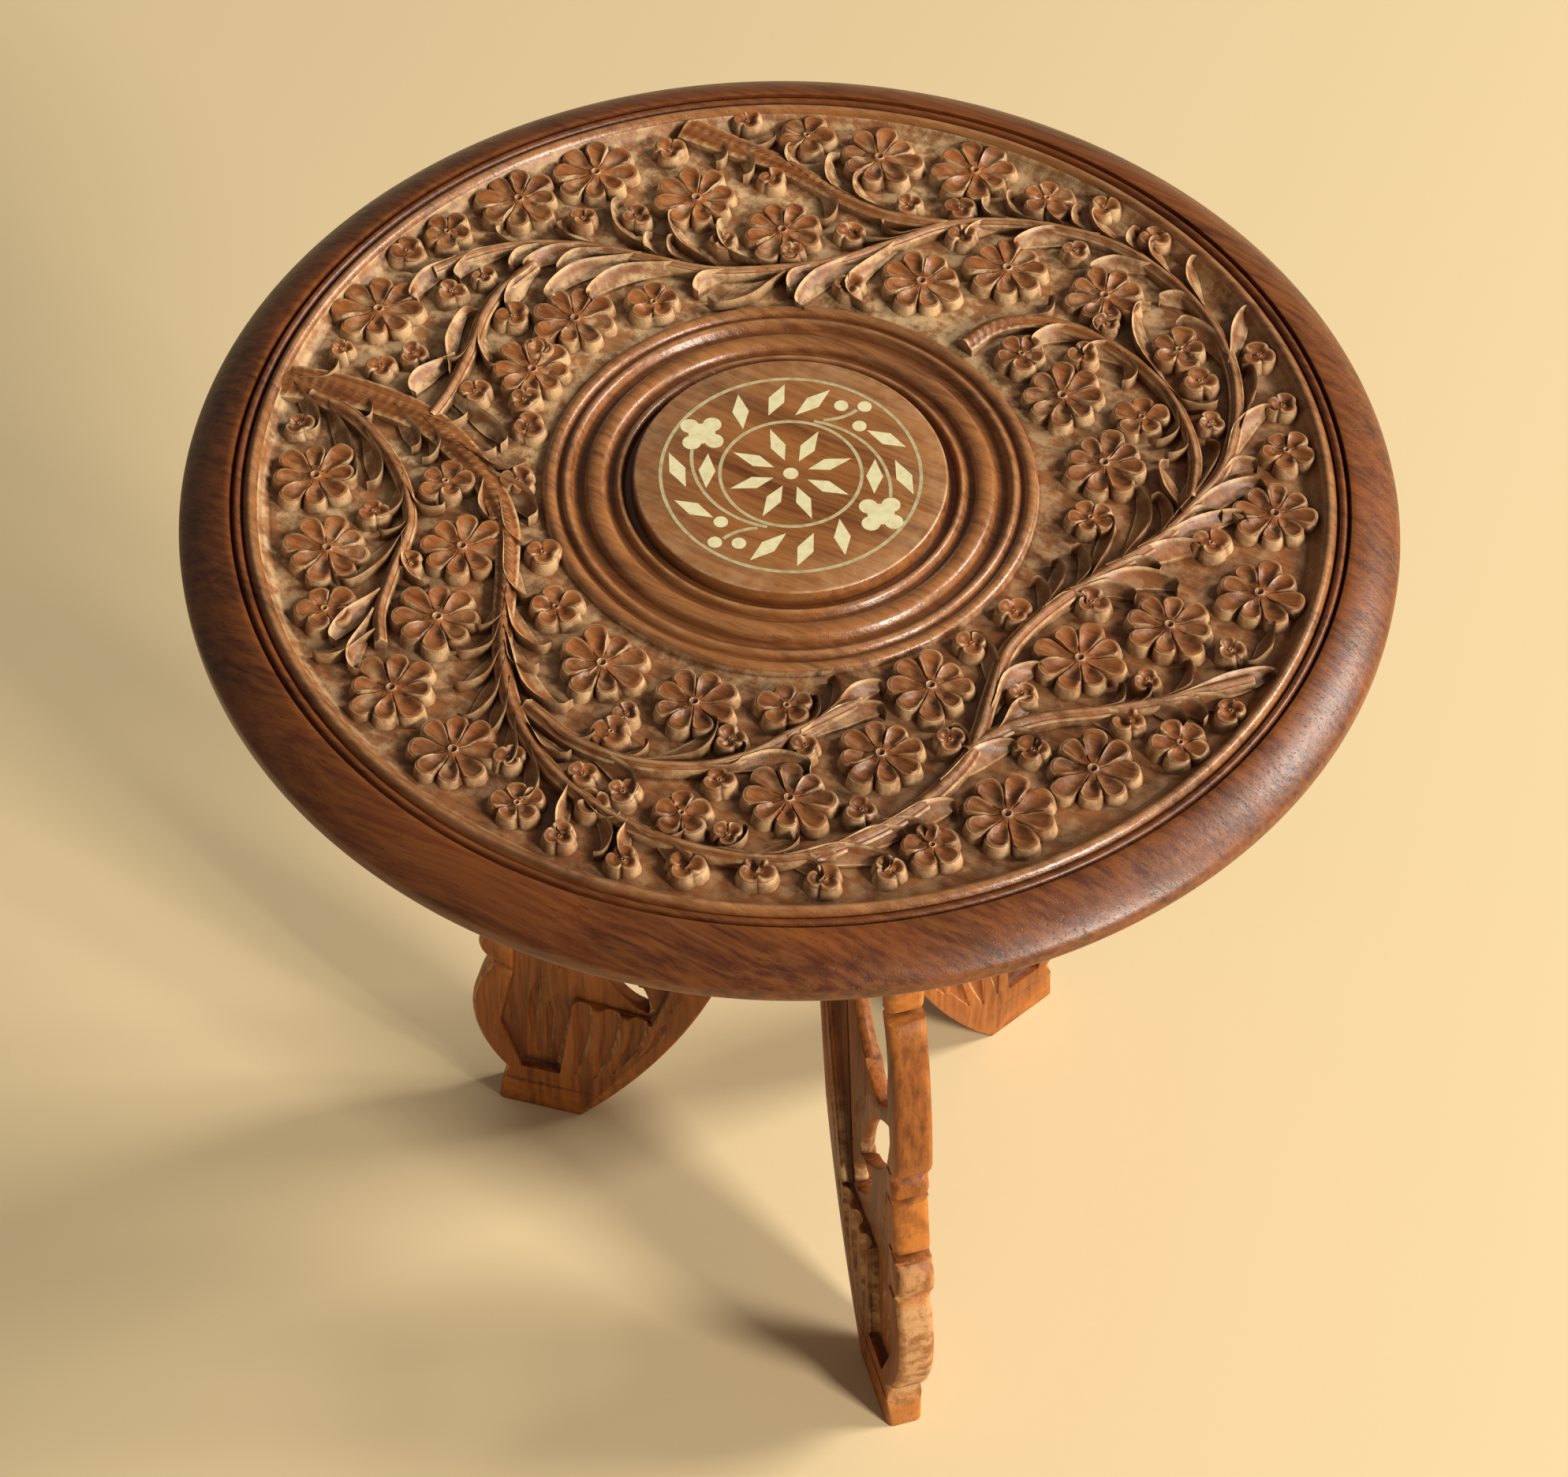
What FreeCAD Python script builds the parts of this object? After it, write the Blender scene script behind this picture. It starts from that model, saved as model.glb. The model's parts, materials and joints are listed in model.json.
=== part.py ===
"""Folding plant stand: a loose, carved and inlaid round top on three hinged leg panels.

Millimetres, +Z up, origin on the floor under the middle of the top. The front leg panel
points towards -Y. The right and left panels are hinged to the two sides of its inner edge
and fold flat against its faces, like the covers of a book.
"""

import math
import os

import FreeCAD
import Part

# Overall sizes
TOP_DIAMETER = 305.0
STAND_HEIGHT = 298.0
TOP_THICKNESS = 12.0

# Edge of the top, from the outside in
EDGE_ROUND = 1.5
EDGE_BAND = 2.9
RIM_SLOPE_WIDTH = 12.7
RIM_SLOPE_DROP = 0.3
RIM_SLOPE_CROWN = 1.1
QUIRK_WIDTH = 1.2
QUIRK_DEPTH = 1.5
BEAD_WIDTH = 6.0
BEAD_SHOULDER = 1.2
FIELD_DEPTH = 4.6

# Raised medallion in the middle
MEDALLION_RADIUS = 39.3
MEDALLION_CHAMFER = 0.5

# Turned rings round the medallion, from the inside out
GROOVE_1_WIDTH = 2.6
GROOVE_1_DEPTH = 4.4
RIDGE_1_WIDTH = 2.0
RIDGE_1_DROP = 2.4
GROOVE_2_WIDTH = 2.6
GROOVE_2_DEPTH = 4.2
RIDGE_2_WIDTH = 4.6
RIDGE_2_DROP = 2.0
GROOVE_3_WIDTH = 3.8
GROOVE_3_DEPTH = 4.6
RIDGE_3_WIDTH = 2.3
RIDGE_3_DROP = 2.4
GROOVE_4_WIDTH = 1.5
GROOVE_4_DEPTH = 3.9
RIDGE_4_WIDTH = 3.1
RIDGE_4_DROP = 2.3
RIDGE_SHOULDER = 0.8

# Inlay, let into the medallion and level with it
INLAY_DEPTH = 1.2
WIRE_WIDTH = 0.9
OUTER_RING_RADIUS = 32.5
INNER_RING_RADIUS = 17.7
VINE_RADIUS = 23.9
VINE_CENTRE_X = 1.0
VINE_CENTRE_Y = -5.5
VINE_START_DEG = 79.0
VINE_END_DEG = -4.5
BRANCH_RADIUS = 12.5
BRANCH_CENTRE_X = 7.5
BRANCH_CENTRE_Y = 31.0
BRANCH_START_DEG = -45.0
BRANCH_END_DEG = -88.0
DOT_RADIUS = 1.8
CENTRE_DOT_RADIUS = 1.9
STAR_COUNT = 8
STAR_PHASE_DEG = 20.0
STAR_INNER_RADIUS = 4.6
STAR_OUTER_RADIUS = 16.0
STAR_WIDTH = 3.9
STAR_WAIST = 0.44
LOZENGE_WIDTH = 4.2
QUATREFOIL_RADIUS = 26.0
QUATREFOIL_AZIMUTH_DEG = 150.0
QUATREFOIL_TURN_DEG = 52.0
QUATREFOIL_LOBE_RADIUS = 2.35
QUATREFOIL_LOBE_REACH = 4.0
QUATREFOIL_CORE_RADIUS = 3.4

# Half of the border pattern; the other half is the same, turned by 180 degrees
# Lozenges: distance from the centre, azimuth, tilt of the long axis, length
BORDER_LOZENGES = (
    (24.5, 122.0, 97.0, 12.0),
    (25.4, 99.0, 70.0, 11.6),
    (25.0, 78.0, 46.0, 12.5),
    (26.9, 27.6, -29.0, 11.3),
    (20.9, -1.0, 89.0, 11.6),
    (28.3, -1.0, 112.0, 12.4),
)
# Dots: distance from the centre, azimuth
BORDER_DOTS = (
    (26.6, 62.2),
    (29.7, 51.9),
    (23.8, 44.3),
)

# Main forms of the carving, which stand on the sunk ring
FLOWER_HEIGHT = 3.6
SMALL_FLOWER_HEIGHT = 3.4
STEM_HEIGHT = 3.2
BUD_HEIGHT = 3.0
CARVING_ROOT = 0.5
FLOWER_PETALS = 8
SMALL_FLOWER_PETALS = 5
PETAL_NOTCH = 0.8
# Radius of the ring that the places below are laid out on
CARVING_REACH = 132.6
# Flowers: x and y from the middle of the top, reach of the petals
FLOWERS = (
    (-53.5, 109.0, 11.2), (-73.4, 98.4, 11.0), (-107.3, 56.5, 11.3), (-56.5, 54.5, 10.8),
    (-26.5, 100.0, 11.3), (-3.5, 88.5, 11.0), (22.0, 117.0, 11.3), (47.5, 112.5, 11.0),
    (33.0, 70.5, 11.3), (55.5, 76.0, 11.0), (80.5, 66.5, 10.6), (68.5, 30.5, 10.8),
    (78.5, 7.5, 10.8), (120.3, -8.5, 10.8), (115.0, -34.5, 11.0), (92.5, -45.5, 11.0),
    (70.5, -56.5, 11.0), (34.5, -66.0, 11.0), (72.5, -90.5, 11.3), (52.0, -104.5, 11.3),
    (22.5, -87.0, 10.8), (1.0, -101.0, 11.0), (-22.0, -72.5, 10.5), (-44.5, -61.0, 11.0),
    (-78.5, -88.5, 11.0), (-94.5, -70.0, 10.8), (-85.0, -47.5, 11.0), (-80.5, -24.5, 11.0),
    (-113.5, -26.0, 11.0), (-118.5, -2.0, 11.3), (-66.5, 36.0, 10.8),
)
# Small flowers: x and y, reach of the petals
SMALL_FLOWERS = (
    (-91.5, 85.5, 6.8), (-86.0, -3.0, 7.0), (-24.0, -106.0, 7.0), (34.5, -114.0, 7.5),
    (93.5, -82.0, 7.3), (-62.5, -104.0, 6.8), (-56.5, -43.5, 7.0), (-112.5, -45.5, 8.0),
    (88.5, 23.5, 7.0), (99.0, 47.5, 7.8), (66.5, 102.5, 7.3), (2.5, 125.0, 7.6),
    (124.5, 13.0, 7.0), (58.5, 45.0, 7.0), (0.0, -73.0, 7.3), (-36.5, 61.0, 7.2),
    (74.5, -11.0, 6.0),
)
# Buds: x and y, radius
BUDS = (
    (-101.5, 78.0, 5.2), (-81.0, 69.0, 3.6), (-89.0, 63.5, 4.2), (-72.5, 55.0, 4.5),
    (-56.0, 91.5, 4.0), (-42.0, 92.5, 4.2), (-34.0, 118.0, 4.3), (-115.5, 42.0, 3.6),
    (-65.0, 43.5, 3.8), (-13.5, 130.0, 4.0), (-6.5, 108.0, 4.3), (-19.0, 84.0, 4.2),
    (-1.0, 80.5, 3.6), (14.5, 88.0, 4.0), (30.0, 99.0, 4.0), (43.5, 98.0, 4.6),
    (44.0, 87.5, 4.2), (14.0, 68.5, 4.2), (81.5, 99.5, 4.3), (94.5, 88.5, 4.3),
    (73.5, 83.0, 4.0), (74.5, 45.0, 4.2), (81.0, 56.5, 3.6), (104.0, 36.5, 4.8),
    (119.5, 46.0, 4.5), (124.5, 28.5, 4.4), (106.0, 22.0, 4.0), (74.0, -38.5, 4.5),
    (104.0, -18.5, 5.2), (107.0, -53.0, 4.3), (86.5, -63.0, 3.8), (81.5, -75.5, 4.6),
    (106.0, -72.0, 4.2), (58.5, -85.0, 4.5), (56.5, -68.0, 4.3), (44.5, -52.5, 4.2),
    (39.0, -82.5, 4.4), (55.0, -42.0, 4.5), (-38.0, -76.5, 3.6), (-41.5, -82.0, 5.2),
    (-13.0, -83.5, 4.2), (4.5, -85.5, 3.6), (-15.5, -96.0, 4.5), (-47.5, -95.0, 4.5),
    (-38.0, -100.0, 4.5), (-45.0, -103.5, 4.5), (-52.0, -113.5, 4.0), (-37.0, -120.0, 4.3),
    (-22.5, -121.5, 4.8), (-6.0, -122.5, 4.5), (9.5, -124.5, 4.3), (24.5, -121.0, 4.3),
    (18.0, -104.0, 4.2), (-13.0, -112.0, 3.8), (-65.0, -90.5, 4.0), (-124.0, 15.5, 4.0),
    (-103.0, -13.5, 4.3), (-80.5, 28.0, 4.5), (-66.5, 16.5, 4.5), (-68.0, -2.0, 4.5),
    (-105.0, 36.0, 4.5), (-97.0, 41.0, 4.0), (-93.0, -30.0, 3.5), (-60.5, -26.0, 4.8),
    (-68.0, 25.5, 4.3),
)
# Stems: width at the start, width at the end, points along the middle
STEMS = (
    (
        9.5, 3.2,
        ((-132, 31), (-118, 29), (-103, 24), (-91, 17), (-82, 7), (-75, -4), (-70, -17), (-69, -32),
         (-69, -48), (-68, -63), (-64, -78), (-57, -91), (-47, -102), (-34, -111), (-18, -117), (-2, -119),
         (12, -116.5)),
    ),
    (
        4.6, 3.4,
        ((6, -118), (20, -111), (32, -102), (42, -90), (46, -80), (49, -68), (53, -55), (60, -45), (69, -36),
         (80, -27), (92, -17), (101, -5), (108, 6), (112, 20), (113, 35), (111, 48), (106, 61), (97, 74),
         (86, 84), (73, 90), (57, 93), (40, 91.5), (25, 84), (10, 77), (-5, 74), (-22, 73), (-38, 77),
         (-55, 81), (-72, 81), (-84, 77), (-94, 71)),
    ),
    (9.0, 4.0, ((-30, 127.5), (-18, 121), (-6, 115), (4, 108), (13, 101), (24, 95), (40, 91.5))),
    (
        5.5, 3.4,
        ((44, 48), (52, 55), (63, 57), (75, 53), (85, 45.5), (94, 35), (99, 23), (101.5, 10), (100, -4)),
    ),
    (4.2, 3.0, ((-62, -74), (-50, -85), (-36, -91), (-20, -92), (-8, -88), (1, -82), (9, -77), (18, -71))),
    (4.6, 3.2, ((43, -86), (52, -79), (62, -75), (75, -73), (88, -70), (100, -66), (112, -62))),
    (
        4.6, 3.2,
        ((-122, 26), (-111, 19), (-103, 9), (-98, 0), (-95, -9), (-94, -19), (-97, -34), (-99, -46),
         (-98, -56)),
    ),
    (4.2, 3.6, ((-68, 74), (-76, 64), (-80, 55), (-82, 45), (-84.5, 36), (-87, 28), (-91, 19))),
)

# Leg panel: reach out from the hinge edge, height up from the floor
LEG_THICKNESS = 10.6
TOE_REACH = 92.0
HEEL_REACH = 65.0
FOOT_HEIGHT = 17.0
ANKLE_REACH = 89.0
CALF_REACH = 98.5
CALF_TOP = 71.0
KNEE_NOTCH_REACH = 90.5
KNEE_REACH = 95.0
KNEE_TOP = 87.0
LEDGE_REACH = 86.0
LEDGE_HEIGHT = 3.0
BLOCK_LOW_REACH = 89.5
BLOCK_HIGH_REACH = 85.0
BLOCK_TOP = 107.5
COLLAR_GROOVE_HEIGHT = 1.0
COLLAR_NECK_REACH = 82.5
COLLAR_REACH = 85.5
COLLAR_HEIGHT = 9.5
LOBE_NECK_REACH = 81.0
LOBE_NECK_HEIGHT = 2.5
LOBE_LOW_REACH = 87.0
LOBE_ROUND = 6.0
LOBE_HIGH_REACH = 74.5
LOBE_CROWN = 1.6
LOBE_TOP = 178.0
SHELF_REACH = 69.0
SHELF_HEIGHT = 3.0
BRACKET_BLOCK_REACH = 72.0
BRACKET_BLOCK_HEIGHT = 12.0
BRACKET_NECK_REACH = 69.5
BRACKET_HOLLOW = 7.0
BRACKET_STEP = 4.0
CROWN_BLOCK_HEIGHT = 14.0
LEG_TOP_REACH = 99.0

# Inner edge of the leg panel, from the hinge edge down to the heel
HINGE_EDGE_BOTTOM = 130.0
ARCH_HIGH_REACH = 16.5
ARCH_HIGH_HEIGHT = 110.0
ARCH_LOW_REACH = 24.0
ARCH_LOW_HEIGHT = 77.0
ARCH_BULGE = 3.5

# Thin web of the leg panel, sunk from both faces between the moulded edge and the border
WEB_THICKNESS = 4.6
WEB_TOP_RAIL = 24.0
WEB_STILE = 16.0
# Inner line of the moulded edge, upwards, as reach and height
MOULDING_LINE = (
    (84.0, 20.0), (90.0, 40.0), (85.0, 66.0), (84.0, 84.0), (80.5, 106.0), (78.0, 122.0),
    (79.0, 132.0), (68.0, 181.0), (63.0, 197.0), (63.0, 228.0),
)
# Edge of the border along the arch, downwards, as reach and height
BORDER_LINE = ((22.0, 128.0), (30.0, 100.0), (42.0, 56.0), (66.5, 58.0), (71.5, 20.0))
WEB_CROWN_REACH = 76.0
WEB_STILE_BOTTOM = 150.0

# Pierced leaf-shaped openings: lower tip reach and height, upper tip reach and height, width
PIERCED_LEAVES = (
    (60.0, 122.0, 44.0, 196.0, 44.0),
    (49.0, 80.0, 73.0, 125.0, 13.0),
    (44.0, 58.0, 58.0, 82.0, 8.0),
    (20.0, 204.0, 60.0, 258.0, 15.0),
)

# Where the legs stand under the top, and how far they are opened
BASE_X = 11.1
BASE_Y = -11.7
FRONT_LEG_AZIMUTH_DEG = -72.6
RIGHT_LEG_OPEN_DEG = 114.5
LEFT_LEG_OPEN_DEG = 121.3

# Small butt hinges between the panels
FOLD_GAP = 0.6
HINGE_LENGTH = 25.0
HINGE_LEAF_WIDTH = 7.5
HINGE_LEAF_THICKNESS = 1.0
HINGE_LEAF_SETBACK = 0.2
BARREL_RADIUS = 1.9
BARREL_CLEARANCE = 0.3
KNUCKLE_GAP = 0.2
PIN_RADIUS = 0.9
PIN_CLEARANCE = 0.05
HINGES_PER_JOINT = 2

# Countersunk wood screws, two to a hinge leaf
SCREW_LENGTH = 10.0
SCREW_TIP = 2.0
SCREW_SHANK_RADIUS = 1.0
SCREW_HEAD_RADIUS = 1.8
SCREW_HEAD_HEIGHT = 0.8
SCREW_PITCH = 15.0
SCREW_OFFSET = 4.6

# Values worked out from the sizes above
TOP_RADIUS = TOP_DIAMETER / 2.0
UNDERSIDE_Z = STAND_HEIGHT - TOP_THICKNESS
FIELD_Z = STAND_HEIGHT - FIELD_DEPTH
RIM_INNER = TOP_RADIUS - RIM_SLOPE_WIDTH
BEAD_OUTER = RIM_INNER - QUIRK_WIDTH
BEAD_INNER = BEAD_OUTER - BEAD_WIDTH
CARVING_SCALE = BEAD_INNER / CARVING_REACH
PIN_SETBACK = BARREL_RADIUS + BARREL_CLEARANCE
PIN_OFFSET = (LEG_THICKNESS + FOLD_GAP) / 2.0
HINGE_PITCH = (UNDERSIDE_Z - HINGE_EDGE_BOTTOM) / (2 * HINGES_PER_JOINT)
RIGHT = 1.0
LEFT = -1.0

TURNED_RINGS = (
    (GROOVE_1_WIDTH, GROOVE_1_DEPTH, RIDGE_1_WIDTH, RIDGE_1_DROP),
    (GROOVE_2_WIDTH, GROOVE_2_DEPTH, RIDGE_2_WIDTH, RIDGE_2_DROP),
    (GROOVE_3_WIDTH, GROOVE_3_DEPTH, RIDGE_3_WIDTH, RIDGE_3_DROP),
    (GROOVE_4_WIDTH, GROOVE_4_DEPTH, RIDGE_4_WIDTH, RIDGE_4_DROP),
)


def vec(x, y, z):
    """Make a vector."""
    return FreeCAD.Vector(x, y, z)


UP = vec(0, 0, 1)


class Outline:
    """A closed outline in the XZ plane, drawn with straight runs and arcs."""

    def __init__(self, x, z):
        self.start = vec(x, 0, z)
        self.here = self.start
        self.edges = []

    def line(self, x, z):
        """Draw a straight run to a point."""
        there = vec(x, 0, z)
        self.edges.append(Part.LineSegment(self.here, there).toShape())
        self.here = there

    def arc(self, mid_x, mid_z, x, z):
        """Draw an arc through a middle point to an end point."""
        there = vec(x, 0, z)
        self.edges.append(Part.Arc(self.here, vec(mid_x, 0, mid_z), there).toShape())
        self.here = there

    def bow(self, x, z, rise):
        """Draw an arc to a point, bowed to the right of the way it runs by the given rise."""
        dx = x - self.here.x
        dz = z - self.here.z
        run = math.hypot(dx, dz)
        mid_x = (x + self.here.x) / 2.0 + rise * dz / run
        mid_z = (z + self.here.z) / 2.0 - rise * dx / run
        self.arc(mid_x, mid_z, x, z)

    def face(self):
        """Close the outline and return it as a face."""
        if self.here.distanceToPoint(self.start) > 1e-6:
            self.line(self.start.x, self.start.z)
        return Part.Face(Part.Wire(self.edges))


def turned_top():
    """The round top as a turned solid, before the inlay is let in."""
    level = STAND_HEIGHT
    out = Outline(0, UNDERSIDE_Z)
    out.line(TOP_RADIUS - EDGE_ROUND, UNDERSIDE_Z)
    corner = EDGE_ROUND * (1.0 - math.sqrt(0.5))
    out.arc(TOP_RADIUS - corner, UNDERSIDE_Z + corner, TOP_RADIUS, UNDERSIDE_Z + EDGE_ROUND)
    out.line(TOP_RADIUS, UNDERSIDE_Z + EDGE_ROUND + EDGE_BAND)
    out.bow(RIM_INNER, level - RIM_SLOPE_DROP, RIM_SLOPE_CROWN)
    out.line(RIM_INNER - QUIRK_WIDTH / 2.0, level - QUIRK_DEPTH)
    out.line(BEAD_OUTER, level - BEAD_SHOULDER)
    out.arc((BEAD_OUTER + BEAD_INNER) / 2.0, level, BEAD_INNER, level - BEAD_SHOULDER)
    out.line(BEAD_INNER, FIELD_Z)
    ring = MEDALLION_RADIUS + sum(groove + ridge for groove, _, ridge, _ in TURNED_RINGS)
    out.line(ring, FIELD_Z)
    for groove, depth, ridge, drop in reversed(TURNED_RINGS):
        shoulder = level - drop - RIDGE_SHOULDER
        out.line(ring, shoulder)
        out.arc(ring - ridge / 2.0, level - drop, ring - ridge, shoulder)
        ring -= ridge
        bottom = level - depth
        out.line(ring - groove / 4.0, bottom)
        out.line(ring - groove * 3.0 / 4.0, bottom)
        ring -= groove
    out.line(MEDALLION_RADIUS, level - MEDALLION_CHAMFER)
    out.line(MEDALLION_RADIUS - MEDALLION_CHAMFER, level)
    out.line(0, level)
    return out.face().revolve(vec(0, 0, 0), UP, 360)


def carved_place(x, y):
    """A place in the carving, at the level where its forms are rooted in the board."""
    return vec(x * CARVING_SCALE, y * CARVING_SCALE, FIELD_Z - CARVING_ROOT)


def raised(edges, height):
    """A carved form that stands on the sunk ring, from the edges of its outline."""
    return Part.Face(Part.Wire(edges)).extrude(vec(0, 0, height + CARVING_ROOT))


def carved_flower(x, y, reach, petals, height):
    """A flower as a low disc with one round lobe for each petal."""
    centre = carved_place(x, y)
    half_petal = 180.0 / petals
    edges = []
    for index in range(petals):
        notch = 2.0 * half_petal * index
        ends = [centre + vec(*polar(reach * PETAL_NOTCH, notch + turn), 0) for turn in (0, 2.0 * half_petal)]
        tip = centre + vec(*polar(reach, notch + half_petal), 0)
        edges.append(Part.Arc(ends[0], tip, ends[1]).toShape())
    return raised(edges, height)


def carved_bud(x, y, radius):
    """A bud as a low round knob."""
    return Part.makeCylinder(radius, BUD_HEIGHT + CARVING_ROOT, carved_place(x, y))


def carved_stem(start_width, end_width, points):
    """A stem as a low band along a curve, which tapers quickly at first and then slowly."""
    middle = Part.BSplineCurve()
    middle.interpolate([carved_place(x, y) for x, y in points])
    sides = ([], [])
    for index, (x, y) in enumerate(points):
        share = index / (len(points) - 1.0)
        half_width = (end_width + (start_width - end_width) * (1.0 - share) ** 3) / 2.0
        place = carved_place(x, y)
        along = middle.tangent(middle.parameter(place))[0]
        across = UP.cross(along).normalize()
        sides[0].append(place + across * half_width)
        sides[1].append(place - across * half_width)
    edges = []
    for side in sides:
        curve = Part.BSplineCurve()
        curve.interpolate(side)
        edges.append(curve.toShape())
    start_cap = Part.LineSegment(sides[0][0], sides[1][0]).toShape()
    end_cap = Part.LineSegment(sides[0][-1], sides[1][-1]).toShape()
    return raised([edges[0], end_cap, edges[1], start_cap], STEM_HEIGHT)


def carving():
    """The main forms of the carving, as solids rooted in the board."""
    forms = [carved_flower(*flower, FLOWER_PETALS, FLOWER_HEIGHT) for flower in FLOWERS]
    forms += [carved_flower(*flower, SMALL_FLOWER_PETALS, SMALL_FLOWER_HEIGHT) for flower in SMALL_FLOWERS]
    forms += [carved_bud(*bud) for bud in BUDS]
    forms += [carved_stem(*stem) for stem in STEMS]
    return forms


def inlay_prism(face):
    """Raise a flat face by the inlay depth."""
    return face.extrude(vec(0, 0, INLAY_DEPTH))


def inlay_disc(x, y, radius):
    """A round inlay piece."""
    return Part.makeCylinder(radius, INLAY_DEPTH, vec(x, y, STAND_HEIGHT - INLAY_DEPTH))


def ring_wire(radius):
    """A closed ring of inlaid wire."""
    outer = inlay_disc(0, 0, radius + WIRE_WIDTH / 2.0)
    return outer.cut(inlay_disc(0, 0, radius - WIRE_WIDTH / 2.0))


def arc_wire(x, y, radius, start_deg, end_deg):
    """A length of inlaid wire bent to an arc, from start_deg clockwise to end_deg."""
    base = STAND_HEIGHT - INLAY_DEPTH
    low, high = radius - WIRE_WIDTH / 2.0, radius + WIRE_WIDTH / 2.0

    def at(size, degrees):
        angle = math.radians(degrees)
        return vec(x + size * math.cos(angle), y + size * math.sin(angle), base)

    middle = (start_deg + end_deg) / 2.0
    edges = [
        Part.Arc(at(high, start_deg), at(high, middle), at(high, end_deg)).toShape(),
        Part.LineSegment(at(high, end_deg), at(low, end_deg)).toShape(),
        Part.Arc(at(low, end_deg), at(low, middle), at(low, start_deg)).toShape(),
        Part.LineSegment(at(low, start_deg), at(high, start_deg)).toShape(),
    ]
    return inlay_prism(Part.Face(Part.Wire(edges)))


def lozenge(x, y, tilt_deg, length, width, waist=0.5):
    """A four-sided inlay piece, widest at the waist share of its length."""
    base = STAND_HEIGHT - INLAY_DEPTH
    angle = math.radians(tilt_deg)
    along = vec(math.cos(angle), math.sin(angle), 0)
    across = vec(-math.sin(angle), math.cos(angle), 0)
    tail = vec(x, y, base) - along * (length / 2.0)
    belly = tail + along * (length * waist)
    corners = [tail, belly + across * (width / 2.0), tail + along * length, belly - across * (width / 2.0)]
    return inlay_prism(Part.Face(Part.makePolygon(corners + [tail])))


def quatrefoil(x, y, turn_deg):
    """A four-lobed inlay piece."""
    lobes = []
    for quarter in range(4):
        angle = math.radians(turn_deg + 90.0 * quarter)
        lobe_x = x + QUATREFOIL_LOBE_REACH * math.cos(angle)
        lobe_y = y + QUATREFOIL_LOBE_REACH * math.sin(angle)
        lobes.append(inlay_disc(lobe_x, lobe_y, QUATREFOIL_LOBE_RADIUS))
    return inlay_disc(x, y, QUATREFOIL_CORE_RADIUS).multiFuse(lobes).removeSplitter()


def polar(radius, degrees):
    """Turn a distance and an azimuth into x and y."""
    angle = math.radians(degrees)
    return radius * math.cos(angle), radius * math.sin(angle)


def half_turn(shape):
    """A copy of a shape, turned by 180 degrees about the middle of the top."""
    copy = shape.copy()
    copy.rotate(vec(0, 0, 0), UP, 180)
    return copy


def both_halves(shapes):
    """The shapes of one half of the medallion, and the same again for the other half."""
    return shapes + [half_turn(shape) for shape in shapes]


def inlay_pieces():
    """All inlay nodes as lists of solids."""
    inner_ring = ring_wire(INNER_RING_RADIUS)
    star_length = STAR_OUTER_RADIUS - STAR_INNER_RADIUS
    star_middle = (STAR_OUTER_RADIUS + STAR_INNER_RADIUS) / 2.0
    stars = []
    for index in range(STAR_COUNT):
        azimuth = STAR_PHASE_DEG + 360.0 * index / STAR_COUNT
        stars.append(lozenge(*polar(star_middle, azimuth), azimuth, star_length, STAR_WIDTH, STAR_WAIST))
    borders = []
    for distance, azimuth, tilt, length in BORDER_LOZENGES:
        borders.append(lozenge(*polar(distance, azimuth), tilt, length, LOZENGE_WIDTH))
    dots = [inlay_disc(*polar(distance, azimuth), DOT_RADIUS) for distance, azimuth in BORDER_DOTS]
    foils = both_halves([quatrefoil(*polar(QUATREFOIL_RADIUS, QUATREFOIL_AZIMUTH_DEG), QUATREFOIL_TURN_DEG)])
    vine = arc_wire(VINE_CENTRE_X, VINE_CENTRE_Y, VINE_RADIUS, VINE_START_DEG, VINE_END_DEG)
    vine = vine.cut(inner_ring).cut(foils)
    branch = arc_wire(BRANCH_CENTRE_X, BRANCH_CENTRE_Y, BRANCH_RADIUS, BRANCH_START_DEG, BRANCH_END_DEG)
    branch = branch.cut(vine).cut(inner_ring)
    return {
        "outer_ring_wire": [ring_wire(OUTER_RING_RADIUS).cut(foils)],
        "inner_ring_wire": [inner_ring],
        "vine_wires": both_halves([vine]),
        "branch_wires": both_halves([branch]),
        "centre_dot": [inlay_disc(0, 0, CENTRE_DOT_RADIUS)],
        "star_lozenges": stars,
        "border_lozenges": both_halves(borders),
        "quatrefoils": foils,
        "border_dots": both_halves(dots),
    }


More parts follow.
